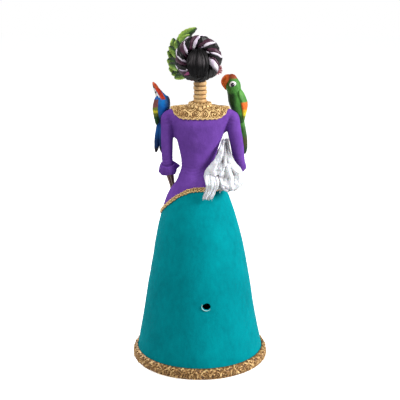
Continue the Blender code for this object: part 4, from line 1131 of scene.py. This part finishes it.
def make_rose(name, direction, radius, deep, pale, slot, material, seed):
    """Cupped petals in four turns, each thin-edged and curled back, over a tight heart."""
    random.seed(seed)
    direction = direction.normalized()
    scale = 1 / math.sqrt(sum((direction[k] / SKULL_RADII[k]) ** 2 for k in range(3)))
    foot = SKULL_CENTRE + direction * (scale + HAIR_THICKNESS * 0.6)
    across = direction.orthogonal().normalized()
    along = direction.cross(across)
    clay = Clay()
    clay.blob(foot + direction * radius * 0.3, (radius * 0.36, radius * 0.36, radius * 0.42), deep, rows=8, count=14,
              turn=direction.to_track_quat("Z", "Y").to_matrix())
    for count, size, lean, rise in PETAL_TURNS:
        for k in range(count):
            turn = TAU * (k + 0.5 * (count % 2) + 0.15 * random.random()) / count
            out = across * math.cos(turn) + along * math.sin(turn)
            side = direction.cross(out)

            def spot(r, c):
                s, t = r / 8, (c / 10) * 2 - 1
                width = size * 0.62 * math.sin(math.pi * min(1, 0.18 + 0.7 * s)) ** 0.6
                reach = size * (0.18 + 0.82 * s) * (1 - 0.14 * t * t * s)
                lift = rise + math.cos(lean) * s * 0.62 * (1 - 0.25 * s) + 0.16 * t * t * (1 - 0.3 * s)
                lift += 0.05 * math.sin(t * 5 + k) * s
                return foot + (out * reach * math.sin(lean) ** 0.5 + side * width * t + direction * lift) * radius

            def tint(point, row, column):
                return blend(deep, pale, (row / 8) ** 2.2 * (0.9 if size > 0.5 else 0.6))

            under = direction * radius * 0.055, out * radius * 0.02
            lines = grid(9, 11, spot)
            clay.skin([line + [point - under[0] - under[1] for point in line[::-1]] for line in lines], tint)
    return clay.finish(name + "_petals", material, slot, name, smooth=0, sharp=70)


LEAVES = (  # name, then root, tip, half width and bow of each blade
    ("leaf_top", ((0.0252, 0.002, 0.3712), (0.004, 0.0, 0.3922), 0.0058, 0.1),
     ((0.024, 0.007, 0.3718), (0.0112, 0.0055, 0.3852), 0.0042, 0.06)),
    ("leaf_high", ((0.0258, 0.006, 0.3655), (0.03, 0.005, 0.3812), 0.005, 0.06),
     ((0.0236, 0.009, 0.369), (0.0262, 0.008, 0.3795), 0.004, 0.05)),
    ("leaf_side", ((0.0256, 0.001, 0.357), (0.0364, 0.002, 0.3668), 0.0056, -0.06),
     ((0.025, 0.0072, 0.3612), (0.0345, 0.006, 0.3722), 0.0046, -0.05)),
    ("leaf_low", ((0.0256, 0.007, 0.351), (0.0366, 0.006, 0.3578), 0.0056, -0.06),
     ((0.025, 0.003, 0.3545), (0.0354, 0.0035, 0.3625), 0.0048, -0.05)),
    ("leaf_nape", ((0.025, 0.004, 0.3446), (0.0352, 0.005, 0.3482), 0.0052, -0.05),
     ((0.0244, 0.0092, 0.348), (0.0352, 0.008, 0.3528), 0.0046, -0.05)),
    ("leaf_foot", ((0.016, 0.007, 0.3404), (0.029, 0.008, 0.337), 0.0044, -0.05),
     ((0.0205, 0.006, 0.3424), (0.0322, 0.006, 0.3412), 0.0042, -0.04)),
)
# LEAF_SHADED is painted shade on the inner half of each blade, LEAF_LIT a painted highlight on its outer edge.
LEAF_SHADED, LEAF_MID, LEAF_LIT = srgb(10, 34, 8), srgb(62, 118, 30), srgb(190, 216, 104)


def leaf_blade(clay, root, tip, half_width, bow):
    """A leaf with a midrib, side veins and a toothed edge, cupped across and curled along."""
    root, tip = Vector(root), Vector(tip)
    along, length = (tip - root).normalized(), (tip - root).length
    side = BACK.cross(along).normalized()
    side = side if side.dot((root + tip) / 2 - BRAID_CENTRE) > 0 else -side
    face = along.cross(side).normalized()
    face = face if face.y > 0 else -face
    steps, count, thick = 34, 20, 0.0005
    rows = []
    for r in range(steps + 1):
        s = r / steps
        width = half_width * max(0.04, math.sin(math.pi * (0.12 + 0.86 * s) ** 0.9)) ** 0.6
        centre = root.lerp(tip, s) + side * math.sin(math.pi * s) * length * bow
        line, lower = [], []
        for c in range(count + 1):
            t = c / count * 2 - 1
            tooth = 1 + 0.05 * math.sin(s * 40) * abs(t) ** 4
            vein = math.sin((s * 8 - abs(t) * 1.4) * TAU)
            height = 0.42 * t * t * half_width * (1 - 0.5 * s) + 0.0002 * vein * min(1, abs(t) * 4) * (1 - abs(t))
            height += 0.0005 * math.exp(-(t / 0.1) ** 2) + 0.55 * half_width * (s - 0.4) ** 2
            height += 0.0005 * math.sin(s * 9 + t * 2) * abs(t)
            place = centre + side * t * width * tooth
            line.append(place + face * (height + thick * (1.2 - t * t)))
            lower.append(place + face * (height - thick * (1.2 - t * t)))
        rows.append(line + lower[::-1])

    def tint(point, row, column):
        t = (column / count if column <= count else (2 * count + 1 - column) / count) * 2 - 1
        s, outer = row / steps, min(max(t * 0.5 + 0.5, 0), 1)
        # Painted shade on the half of the blade toward the ring and painted highlight on the outer edge, stronger
        # toward the tip; the pale veins show only on the lit half.
        colour = blend(LEAF_SHADED, LEAF_MID, outer * 1.9 - 0.35 + 0.35 * noise.noise(point * 300))
        colour = blend(colour, LEAF_LIT, (outer - 0.52) * 2.4 * (0.35 + 0.65 * s))
        vein = math.exp(-(t / 0.08) ** 2) + 0.5 * max(0, math.sin((s * 8 - abs(t) * 1.4) * TAU) - 0.7)
        return blend(colour, LEAF_LIT, 0.35 * vein * outer)

    clay.skin(rows, tint)


def make_leaves(material):
    for name, *blades in LEAVES:
        clay = Clay()
        for blade in blades:
            leaf_blade(clay, *blade)
        clay.finish(name + "_blades", material, "leaf_paint", name, smooth=0, sharp=75)


# ---------------------------------------------------------------- birds
def feathers(u, v):
    """Height of overlapping round-tipped feathers. One feather a unit round, one row a unit down."""
    row = math.floor(v)
    for start in (row - 1, row):
        across = 2 * ((u + 0.5 * (start % 2)) % 1 - 0.5)
        tip = start + 1.62 - 0.6 * across * across
        if v < tip or start == row:
            rise = (v - start) / 1.62
            return 0.25 + 0.75 * rise - 0.25 * math.exp(-(across / 0.1) ** 2) + 0.06 * math.sin((v + abs(across)) * 26)
    return 0.0


def feather_rows(path, radii, samples, count, start, flat, size, depth):
    """A body or wing with its feathers standing out, size metres from row to row."""
    path, radii = catmull([Vector(p) for p in path], samples), catmull(list(radii), samples)
    travel, total = [0.0], 0.0
    for a, b in zip(path, path[1:]):
        total += (b - a).length
        travel.append(total)
    path_r, radii_r = rounded(path, radii, 5)
    pad = (len(path_r) - samples) // 2
    travel = [0.0] * pad + travel + [total] * pad
    across = max(6, round(TAU * max(radii) * (1 + flat) / 2 / (size * 1.15)))
    rows = tube_rows(path_r, radii_r, count, start, flat)
    for r, row in enumerate(rows):
        if not pad <= r < len(rows) - pad:
            continue
        middle = path_r[r]
        for c, point in enumerate(row):
            out = point - middle
            down = total - travel[r] if path[0].z < path[-1].z else travel[r]
            lift = feathers(c / count * across, down / size)
            row[c] = point + out.normalized() * depth * lift
    return rows


def zones(*stops):
    """A colour by height, from (height, colour) stops going up, with feathered borders."""
    def tint(point, row=0, column=0):
        z = point.z + 0.0006 * math.sin(column * 1.9) + 0.0008 * noise.noise(point * 260)
        colour = stops[0][1]
        for (low, first), (high, second) in zip(stops, stops[1:]):
            if z >= low:
                colour = blend(first, second, (z - (low + high) / 2) / (high - low) * 2.2 + 0.5)
        return colour
    return tint


def add_eyes(body, place, reach, *balls):
    """Both eyes of a bird, each of balls given as shift from its middle, radii, tint, rows and count."""
    for side in (-1, 1):
        eye = vec(place[0], place[1] + side * reach, place[2])
        for (x, y, z), radii, tint, rows, count in balls:
            body.blob(eye + vec(x, side * y, z), radii, tint, rows=rows, count=count)


def make_wings(bird, material, slot, band, flat, *wings):
    for name, path, radii, broad in wings:
        rows = feather_rows(path, radii, 70, 48, broad, flat, 0.0048, 0.0006)
        Clay().skin(rows, band).finish(f"{bird}_feathered_{name}", material, slot, f"{bird}_{name}", smooth=0)


def tail_feather(tail, start, tip, bend, radii, flat):
    middle = start.lerp(tip, 0.5) + vec(bend, 0.0012, 0)
    tail.skin(feather_rows((start, middle, start.lerp(tip, 0.85), tip), radii, 60, 24, vec(1, 0.3, 0), flat, 0.0075,
                           0.00035))


BLUE, DEEP_BLUE = srgb(0, 92, 170), srgb(4, 44, 92)
SCARLET, BRICK, CREAM = srgb(206, 62, 28), srgb(112, 62, 60), srgb(244, 240, 232)
YELLOW, OLIVE, DARK_GREEN = srgb(206, 196, 40), srgb(104, 116, 36), srgb(24, 70, 30)
GREEN, MOSS, ORANGE, INK = srgb(70, 132, 52), srgb(36, 84, 22), srgb(226, 104, 32), srgb(20, 16, 22)


def make_macaw(material):
    """Blue body, scarlet crest over a white face, and wings banded brown, yellow and green."""
    body = Clay()

    def coat(point, row, column):
        colour = zones((0.285, DEEP_BLUE), (0.297, BLUE), (0.312, srgb(0, 112, 190)), (0.33, BLUE))(point, row, column)
        if point.x < 0.042:
            colour = blend(colour, DEEP_BLUE, (0.042 - point.x) / 0.006)
        rise = point.z - 0.3105
        across = point.x - 0.0432 - rise * 0.62
        if rise > 0 and -0.0042 < across < 0.001:
            return blend(SCARLET, srgb(150, 40, 24), 0.5 + noise.noise(point * 300))
        if rise > 0.002 and across > 0.0014:
            return blend(CREAM, srgb(214, 210, 200), 0.5 + noise.noise(point * 400))
        return colour

    body.skin(feather_rows(((0.046, -0.012, 0.285), (0.045, -0.012, 0.295), (0.0432, -0.0118, 0.3058),
                            (0.0466, -0.0118, 0.315), (0.0506, -0.0118, 0.322)),
                           (0.004, 0.0078, 0.0084, 0.0048, 0.0028), 84, 72, vec(1, 0.2, 0), 1.0, 0.0042, 0.0004),
              coat)
    # The small cream ball on each eye is a painted glint.
    add_eyes(body, (0.0506, -0.0118, 0.3182), 0.0028, ((0, 0, 0), (0.0014, 0.0009, 0.0014), INK, 8, 14),
             ((0.0002, 0.0007, 0.0003), (0.0003, 0.0002, 0.0003), CREAM, 5, 8))
    body.finish("macaw_feathered_body", material, "blue_paint", "macaw_body", smooth=0)

    beak = Clay(lambda point, row, column: blend(srgb(196, 60, 28), srgb(226, 108, 60), 0.5 + noise.noise(point * 300))
                if point.x < 0.0512 + (point.z - 0.3222) * 0.7 else blend(INK, srgb(80, 70, 66), 0.3))
    beak.tube(((0.0498, -0.012, 0.3214), (0.0512, -0.0124, 0.324), (0.0527, -0.0132, 0.3268),
               (0.0537, -0.014, 0.3284)),
              (0.003, 0.0028, 0.0021, 0.0012), samples=26, count=24)
    beak.finish("macaw_hooked_beak", material, "beak_paint", "macaw_beak", smooth=0)

    band = zones((0.281, DARK_GREEN), (0.288, DARK_GREEN), (0.2935, OLIVE), (0.2965, YELLOW), (0.3, OLIVE),
                 (0.303, BRICK), (0.309, BRICK), (0.312, BLUE), (0.318, BLUE))
    make_wings("macaw", material, "blue_paint", band, 0.34,
               ("wing_outer", ((0.048, -0.0076, 0.31), (0.0492, -0.0062, 0.299), (0.0496, -0.007, 0.282)),
                (0.0046, 0.0054, 0.0016), vec(0.85, 0.5, 0)),
               ("wing_inner", ((0.04, -0.0215, 0.3085), (0.041, -0.0238, 0.298), (0.043, -0.0215, 0.284)),
                (0.0046, 0.0056, 0.0016), vec(1, 0.15, 0)))

    tail = Clay(zones((0.249, INK), (0.258, DEEP_BLUE), (0.275, srgb(20, 84, 150)), (0.285, BLUE)))
    for tip, lean, bend in (((0.0512, -0.0085, 0.249), 0.0, 0.0006), ((0.0446, -0.01, 0.2484), -0.001, -0.0004),
                            ((0.048, -0.0125, 0.256), 0.0, 0.0006)):
        tail_feather(tail, vec(0.0466 + lean, -0.0118, 0.285), Vector(tip), bend,
                     (0.0026, 0.003, 0.0026, 0.0012), 0.38)
    tail.finish("macaw_feathered_tail", material, "blue_paint", "macaw_tail", smooth=0)


def make_parrot(material):
    """Green body, orange beak under a rust crown, ringed eyes, and wings tipped orange and yellow."""
    body = Clay()

    def coat(point, row, column):
        colour = zones((0.286, MOSS), (0.298, GREEN), (0.312, GREEN), (0.322, GREEN),
                       (0.345, GREEN))(point, row, column)
        # Painted shade on the lower inner side of the body, toward the neck.
        breast_shade = min(1.0, max(0.0, (point.x + 0.042) / 0.0036)) * min(1.0, max(0.0, (0.319 - point.z) / 0.003))
        colour = blend(colour, srgb(18, 48, 16), 0.92 * breast_shade)
        if point.z > 0.3335:
            colour = blend(colour, srgb(146, 66, 36), (point.z - 0.3335) / 0.0015)
        return colour

    body.skin(feather_rows(((-0.0472, -0.0108, 0.286), (-0.0456, -0.0108, 0.296), (-0.0424, -0.0108, 0.309),
                            (-0.0395, -0.0108, 0.319), (-0.0378, -0.0108, 0.3265), (-0.0362, -0.0108, 0.333)),
                           (0.0045, 0.0078, 0.0096, 0.008, 0.0084, 0.0062), 100, 76, vec(1, 0.2, 0), 1.0,
                           0.0044, 0.0004), coat)
    # The small cream ball on each eye is a painted glint.
    add_eyes(body, (-0.0374, -0.0108, 0.3276), 0.007,
             ((0, 0, 0), (0.0042, 0.0017, 0.0042), srgb(244, 240, 240), 12, 24),
             ((0.0001, 0.0012, 0), (0.0023, 0.001, 0.0025), srgb(48, 34, 56), 10, 18),
             ((-0.0004, 0.002, 0.0007), (0.0004, 0.0002, 0.0004), CREAM, 5, 8))
    body.finish("parrot_feathered_body", material, "green_paint", "parrot_body", smooth=0)

    beak = Clay(lambda point, row, column: blend(ORANGE, srgb(150, 58, 24), (-0.03 - point.x) / 0.004
                + 0.4 * noise.noise(point * 260)))
    beak.tube(((-0.0345, -0.0108, 0.3335), (-0.031, -0.0108, 0.3326), (-0.0288, -0.011, 0.3286),
               (-0.0296, -0.0111, 0.3222)),
              (0.0052, 0.0058, 0.0048, 0.0014), samples=34, count=28)
    beak.finish("parrot_hooked_beak", material, "beak_paint", "parrot_beak", smooth=0)

    band = zones((0.287, GREEN), (0.29, OLIVE), (0.2935, YELLOW), (0.2975, srgb(214, 170, 40)), (0.3, ORANGE),
                 (0.306, ORANGE), (0.309, GREEN), (0.32, srgb(88, 152, 66)))
    make_wings("parrot", material, "green_paint", band, 0.42,
               ("wing_outer", ((-0.047, -0.0062, 0.317), (-0.0512, -0.007, 0.304), (-0.0505, -0.007, 0.2885)),
                (0.0052, 0.0064, 0.0018), vec(0.5, 1, 0)),
               ("wing_inner", ((-0.0392, -0.0215, 0.3145), (-0.04, -0.0232, 0.304), (-0.043, -0.02, 0.2905)),
                (0.0046, 0.0056, 0.0018), vec(1, 0.15, 0)))

    tail = Clay(zones((0.249, srgb(22, 48, 20)), (0.262, srgb(58, 62, 20)), (0.272, MOSS), (0.285, GREEN)))
    for tip, width in (((-0.0522, -0.007, 0.248), 0.004), ((-0.05, -0.009, 0.254), 0.0034),
                       ((-0.0478, -0.01, 0.26), 0.003)):
        tail_feather(tail, vec(-0.0482, -0.01, 0.286), Vector(tip), -0.0003,
                     (0.0028, width, width * 0.9, width * 0.4), 0.36)
    tail.finish("parrot_feathered_tail", material, "green_paint", "parrot_tail", smooth=0)


# ---------------------------------------------------------------- shawl
def cloth_piece(name, rows, columns, spot, material, body, node, thickness=0.00035):
    """One sheet a thread thick. spot(row, column) gives its point, its painted shade and how thin its weave is."""
    points, shade, thin = zip(*(spot(r, c) for r in range(rows) for c in range(columns)))
    corners = [r * columns + c for r in range(rows - 1) for c in range(columns - 1)]
    mesh = bpy.data.meshes.new(name)
    mesh.from_pydata(points, [], [(a, a + 1, a + columns + 1, a + columns) for a in corners])
    mesh.update()
    # The painted shade is stored as the relief value that the gauze material reads.
    for attribute, values in (("thin", thin), ("relief", shade)):
        mesh.attributes.new(attribute, "FLOAT", "POINT").data.foreach_set("value", values)
    piece = add(name, mesh)
    thick = piece.modifiers.new("thick", "SOLIDIFY")
    thick.thickness, thick.offset = thickness, 0.0
    apply_modifiers(piece)
    return dress(piece, material, "white_gauze", node, body=body, smooth=0, sharp=180)


def loose_thread(clay, foot, swing, *drift):
    """A thread that hangs from the cloth's edge."""
    clay.tube([foot - swing * 0.3, foot, foot + swing * 0.5 + Vector(drift), foot + swing],
              (0.00022, 0.0002, 0.00018, 0.00012), count=6, samples=8)


def distance_to_line(x, z, line):
    """How far a point is from a row of straight pieces, and how far along it the nearest place is."""
    best, share = 1.0, 0.0
    for i, ((ax, az), (bx, bz)) in enumerate(zip(line, line[1:])):
        dx, dz = bx - ax, bz - az
        t = min(max(((x - ax) * dx + (z - az) * dz) / (dx * dx + dz * dz), 0.0), 1.0)
        d = math.hypot(x - ax - dx * t, z - az - dz * t)
        if d < best:
            best, share = d, (i + t) / (len(line) - 1)
    return best, share


BACK_SHAPE = (  # height, left and right edge, how far behind the axis, how much it bulges
    (0.2664, -0.0251, -0.0326, 0.007, 0.001), (0.2605, -0.0234, -0.0337, 0.01, 0.0016),
    (0.252, -0.0206, -0.0358, 0.015, 0.0024), (0.2462, -0.0172, -0.038, 0.019, 0.003),
    (0.2408, -0.0122, -0.0416, 0.0228, 0.004), (0.2358, -0.0074, -0.0464, 0.0262, 0.0048),
    (0.231, -0.005, -0.049, 0.029, 0.0054), (0.2264, -0.0046, -0.0502, 0.0312, 0.0058),
    (0.2214, -0.0066, -0.05, 0.034, 0.006), (0.2172, -0.0118, -0.0486, 0.0354, 0.0056),
    (0.2138, -0.0188, -0.0456, 0.0352, 0.0034), (0.213, -0.0232, -0.043, 0.032, 0.001),
    (0.2158, -0.025, -0.042, 0.028, -0.001), (0.2215, -0.024, -0.04, 0.0256, -0.001),
)
BACK_FOLDS = (  # height, half width and line of each fold, as (x, z): hollows are negative
    (0.003, 0.0026, ((-0.0246, 0.262), (-0.0222, 0.249), (-0.0142, 0.238), (-0.0068, 0.226), (-0.006, 0.22))),
    (0.0024, 0.0017, ((-0.0262, 0.256), (-0.0228, 0.245), (-0.0166, 0.234), (-0.012, 0.224))),
    (-0.003, 0.0012, ((-0.0254, 0.252), (-0.0206, 0.241), (-0.015, 0.231), (-0.0142, 0.225))),
    (0.0026, 0.0016, ((-0.029, 0.254), (-0.0282, 0.241), (-0.0222, 0.23), (-0.0198, 0.225))),
    (-0.003, 0.0012, ((-0.0268, 0.248), (-0.0262, 0.238), (-0.0196, 0.2275))),
    (0.0042, 0.0034, ((-0.0324, 0.25), (-0.0386, 0.24), (-0.0448, 0.232), (-0.0456, 0.224), (-0.04, 0.2175))),
    (0.003, 0.0022, ((-0.03, 0.243), (-0.0344, 0.23), (-0.035, 0.22), (-0.031, 0.2165))),
    (-0.002, 0.0015, ((-0.033, 0.24), (-0.0384, 0.229), (-0.0386, 0.22))),
    (-0.0018, 0.0015, ((-0.0288, 0.238), (-0.0276, 0.228), (-0.0248, 0.2215))),
    (0.002, 0.0014, ((-0.024, 0.233), (-0.0162, 0.229), (-0.0084, 0.2235))),
    (-0.0052, 0.002, ((-0.0214, 0.2285), (-0.0176, 0.2262), (-0.013, 0.227))),
    (-0.0026, 0.0012, ((-0.03, 0.262), (-0.0312, 0.252), (-0.0352, 0.244))),
    (0.002, 0.0014, ((-0.0226, 0.2262), (-0.0252, 0.222), (-0.03, 0.219))),
)


def make_shawl_back(material):
    """Gauze gathered under the right arm, puffed out behind the hip and tucked under below."""
    rows, columns, tuck = 128, 120, 0.84
    shape = list(zip(*(catmull([stop[j] for stop in BACK_SHAPE], rows) for j in range(5))))

    def spot(r, c):
        (height, left, right, depth, bulge), s, t = shape[r], r / (rows - 1), c / (columns - 1) * 2 - 1
        tucked = max(0.0, s - tuck) / (1 - tuck)
        x = (left + right) / 2 - (left - right) / 2 * t
        z = height + 0.0011 * wander(t * 3.2, s * 3.0, 9.0) * min(1, s * 4)
        z -= 0.001 * (1 - t * t) * (1 - tucked)
        fold = 0.0
        if tucked < 1:
            for lift, width, line in BACK_FOLDS:
                far, share = distance_to_line(x, z, line)
                fold += lift * math.exp(-(far / width) ** 2) * min(1.0, 3.2 * share + 0.4, 3.6 - 3.2 * share)
        gather = math.sin(t * 13 + 5 * s + 1.5 * wander(t * 2, s * 6, 3))
        crumple = 0.0007 * gather * min(1, s * 5 + 0.5)
        crumple += 0.0021 * wander(x * 230 - z * 90, z * 170 + x * 90, 1.0)
        crumple += 0.0008 * wander(x * 620, z * 480, 6.0)
        fold = fold * (1 - tucked) + crumple
        y = depth - 0.01 * t * t * min(1, s * 1.8) + bulge * 0.6 * (1 - t * t) + fold
        # Painted shade: grey in the fold hollows, darker toward both side edges, and darker near the top under the
        # arm, less so where t is below -0.1.
        shade = (1 - 0.3 * t**6) * min(1.0, max(0.16, 0.54 + fold / 0.0058))
        shade *= min(1.0, 0.16 + max(0.0, s - 0.05) * 2.6 + 0.6 * (t < -0.1))
        return vec(x, y, z), shade, max(0.0, 0.85 - 2.6 * s - 0.4 * (t < -0.1)) + 0.12 * wander(t * 3, s * 6, 4)

    back = cloth_piece("shawl_back_gauze", rows, columns, spot, material, "shawl", "shawl_back")


def make_shawl_tail(material):
    """The frayed end that hangs below the puff, and the threads that come loose from both."""
    rows, columns = 70, 64
    lefts = catmull([-0.006, -0.0056, -0.0068, -0.0062, -0.0044, -0.003], rows)
    rights = catmull([-0.02, -0.0214, -0.0212, -0.019, -0.0166, -0.0146], rows)

    def spot(r, c):
        s, t = r / (rows - 1), c / (columns - 1)
        x = lefts[r] + (rights[r] - lefts[r]) * t + 0.0006 * wander(t * 2, s * 8, 5)
        fold = math.sin(t * 15 + 2.4 * s) * (0.9 - 0.3 * s) + 0.6 * math.sin(t * 31 - 3 * s)
        fold += 1.2 * wander(t * 5, s * 4, 1)
        ragged = (0.0012 * wander(t * 30, 2, 2) - 0.0006 * abs(math.sin(t * 40))) * max(0, s - 0.8) * 5
        z = 0.2295 - 0.0243 * s + ragged - 0.0006 * (1 - t) * s
        y = 0.0408 - 0.0105 * max(0.0, 1 - s / 0.36) ** 1.6 + 0.00075 * fold - 0.0012 * (2 * t - 1) ** 2
        # Painted shade: greyer in the fold hollows and near the top, under the puff.
        shade = min(1.0, max(0.0, 0.86 + 0.13 * fold)) * min(1, 0.7 + 2.2 * s)
        return vec(x, y, z), shade, 0.08 + 0.3 * max(0, s - 0.85) * 6

    tail = cloth_piece("shawl_tail_gauze", rows, columns, spot, material, "shawl", "shawl_tail")
    random.seed(11)
    threads = Clay()
    for k in range(34):
        if k < 24:
            foot = vec(-0.0034 - 0.011 * (k / 23), 0.041, 0.2062 + 0.0006 * random.random())
            swing = vec(0.0012 * (random.random() - 0.3), 0.0004, -0.0012 - 0.0022 * random.random())
        elif k < 29:
            foot = vec(-0.0062 + 0.0004 * (k - 26), 0.0404, 0.219 - 0.0022 * (k - 24))
            swing = vec(0.0024, 0.0002, -0.0016 - 0.0012 * random.random())
        else:
            foot = vec(-0.0206 - 0.0008 * (k - 29), 0.0372, 0.22 - 0.0004 * (k - 29))
            swing = vec(-0.0004 + 0.0016 * (random.random() - 0.5), 0.0014, -0.005 - 0.003 * random.random())
        loose_thread(threads, foot, swing, 0.0004 * (random.random() - 0.5), 0.0003, 0)
    threads.finish("shawl_loose_threads", material, "white_gauze", body="shawl", smooth=0)


def make_shawl_front(material):
    """The end that hangs before the right hip. Its threads go on with the tail's random draws."""
    rows, columns = 90, 70
    path = [Vector(p) for p in ((-0.029, 0.004, 0.266), (-0.0292, -0.008, 0.263), (-0.0285, -0.02, 0.252),
                                (-0.0262, -0.0275, 0.239), (-0.0232, -0.034, 0.225), (-0.0208, -0.0412, 0.209),
                                (-0.0195, -0.0462, 0.193))]
    centres = catmull(path, rows)
    halves = catmull([0.0034, 0.0036, 0.006, 0.0088, 0.0104, 0.0114, 0.0124], rows)

    def spot(r, c):
        s, t = r / (rows - 1), c / (columns - 1) * 2 - 1
        out = RIGHT.cross(centres[min(r + 1, rows - 1)] - centres[max(r - 1, 0)]).normalized()
        out = out if out.y < 0 else -out
        fold = math.sin(t * 11 + 1.5 * s) + 0.6 * math.sin(t * 23 + 3 * s) + 1.3 * wander(t * 2, s * 6, 7)
        hang = UP * (0.0014 * wander(t * 6, 3, 3) + 0.0008 * wander(t * 40, 3, 3)) * s**6
        point = centres[r] + hang + RIGHT * halves[r] * (t + 0.06 * math.sin(t * 10 + 3))
        point += out * (0.0008 + 0.0012 * s) * fold
        thin = max(0.0, 0.45 - s) + 0.1 * wander(t * 3, s * 6, 4)
        # Painted shade: greyer in the fold hollows.
        return point, min(1.0, max(0.0, 0.65 + 0.3 * fold)), thin

    fringe = Clay()
    for k in range(30):
        foot = centres[-1] + vec(halves[-1] * (k / 29 * 2 - 1), 0, 0.0006)
        swing = vec(0.001 * (random.random() - 0.5), -0.0004, -0.0016 - 0.0024 * random.random())
        loose_thread(fringe, foot, swing, 0.0003, 0, 0)
    fringe.finish("shawl_front_threads", material, "white_gauze", smooth=0)
    front = cloth_piece("shawl_front_gauze", rows, columns, spot, material, "figure", "shawl_front")


# ---------------------------------------------------------------- the scene
def main():
    stage()
    teal = paper_paint("teal_paper", srgb(0, 122, 131), srgb(0, 138, 147), srgb(0, 152, 160))
    purple = paper_paint("purple_paper", srgb(98, 60, 142), srgb(110, 68, 158), srgb(124, 80, 174), 0.8)
    gold, gauze_material = gold_paint(), gauze()
    bone = tinted_paint("bone", 0.5, contrast=0.2)
    skull = tinted_paint("skull_white", 0.45, contrast=0.05)
    feather = tinted_paint("feathers", 0.5, (1, 1, 0.25), contrast=0.22, Specular_IOR_Level=0.2)
    petals = tinted_paint("petals", 0.5)
    leaves = tinted_paint("leaves", 0.45, (1, 1, 1))
    braid = tinted_paint("ribbons", 0.42, (1, 1, 1), contrast=0.12, Specular_IOR_Level=0.25)
    hair = hair_paint()

    make_skirt(teal)
    make_vent_rim(tinted_paint("torn_paper", 0.85, Specular_IOR_Level=0.1))
    make_hem(gold)
    make_waist_trim(gold)
    make_yoke(gold)
    make_frill(gold)
    make_bodice(purple)
    make_cuff("left_cuff_paper", ELBOW_LEFT + CUFF_LEFT.normalized() * 0.001, CUFF_LEFT, 0.0066, 0.01, 0.0098,
              purple, 4, 0.0007, "left_cuff", vec(-1.0, -0.6, 0.3))
    make_cuff("right_cuff_paper", ELBOW_RIGHT + CUFF_RIGHT.normalized() * 0.0028, CUFF_RIGHT, 0.0064, 0.0072, 0.0106,
              purple, 5, 0.001, "right_cuff")
    make_neck(bone)
    make_forearm("left_forearm_bones", ELBOW_LEFT, WRIST_LEFT, 0.004, 1, bone, "left_forearm")
    make_forearm("right_forearm_bones", ELBOW_RIGHT, WRIST_RIGHT, 0.0038, -1, bone, "right_forearm")
    make_hand("left_hand_bones", WRIST_LEFT, vec(-0.3, -0.75, -0.6), vec(-0.6, 0.5, -0.5), 0.5, bone,
              "left_hand")
    make_hand("right_hand_bones", WRIST_RIGHT, vec(0.3, -0.9, 0.1), vec(0.2, 0.1, 1.0), 0.8, bone,
              "right_hand")
    make_skull(skull)
    make_hair(hair)
    make_bun(hair)
    make_braid(braid)
    for seed, (name, direction, radius, deep, pale, slot) in enumerate(FLOWERS):
        make_rose(name, direction, radius, deep, pale, slot, petals, seed)
    make_leaves(leaves)
    make_macaw(feather)
    make_parrot(feather)
    for make in (make_shawl_back, make_shawl_tail, make_shawl_front):
        make(gauze_material)

    board, wood, news, wire = inner_paints()
    for node, material in (("base_disc", board), ("waist_disc", board), ("rod_block", wood), ("spine_rod", wood),
                           ("torso_core", news), ("arm_wire", wire)):
        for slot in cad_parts[node].material_slots:
            slot.material = material


main()
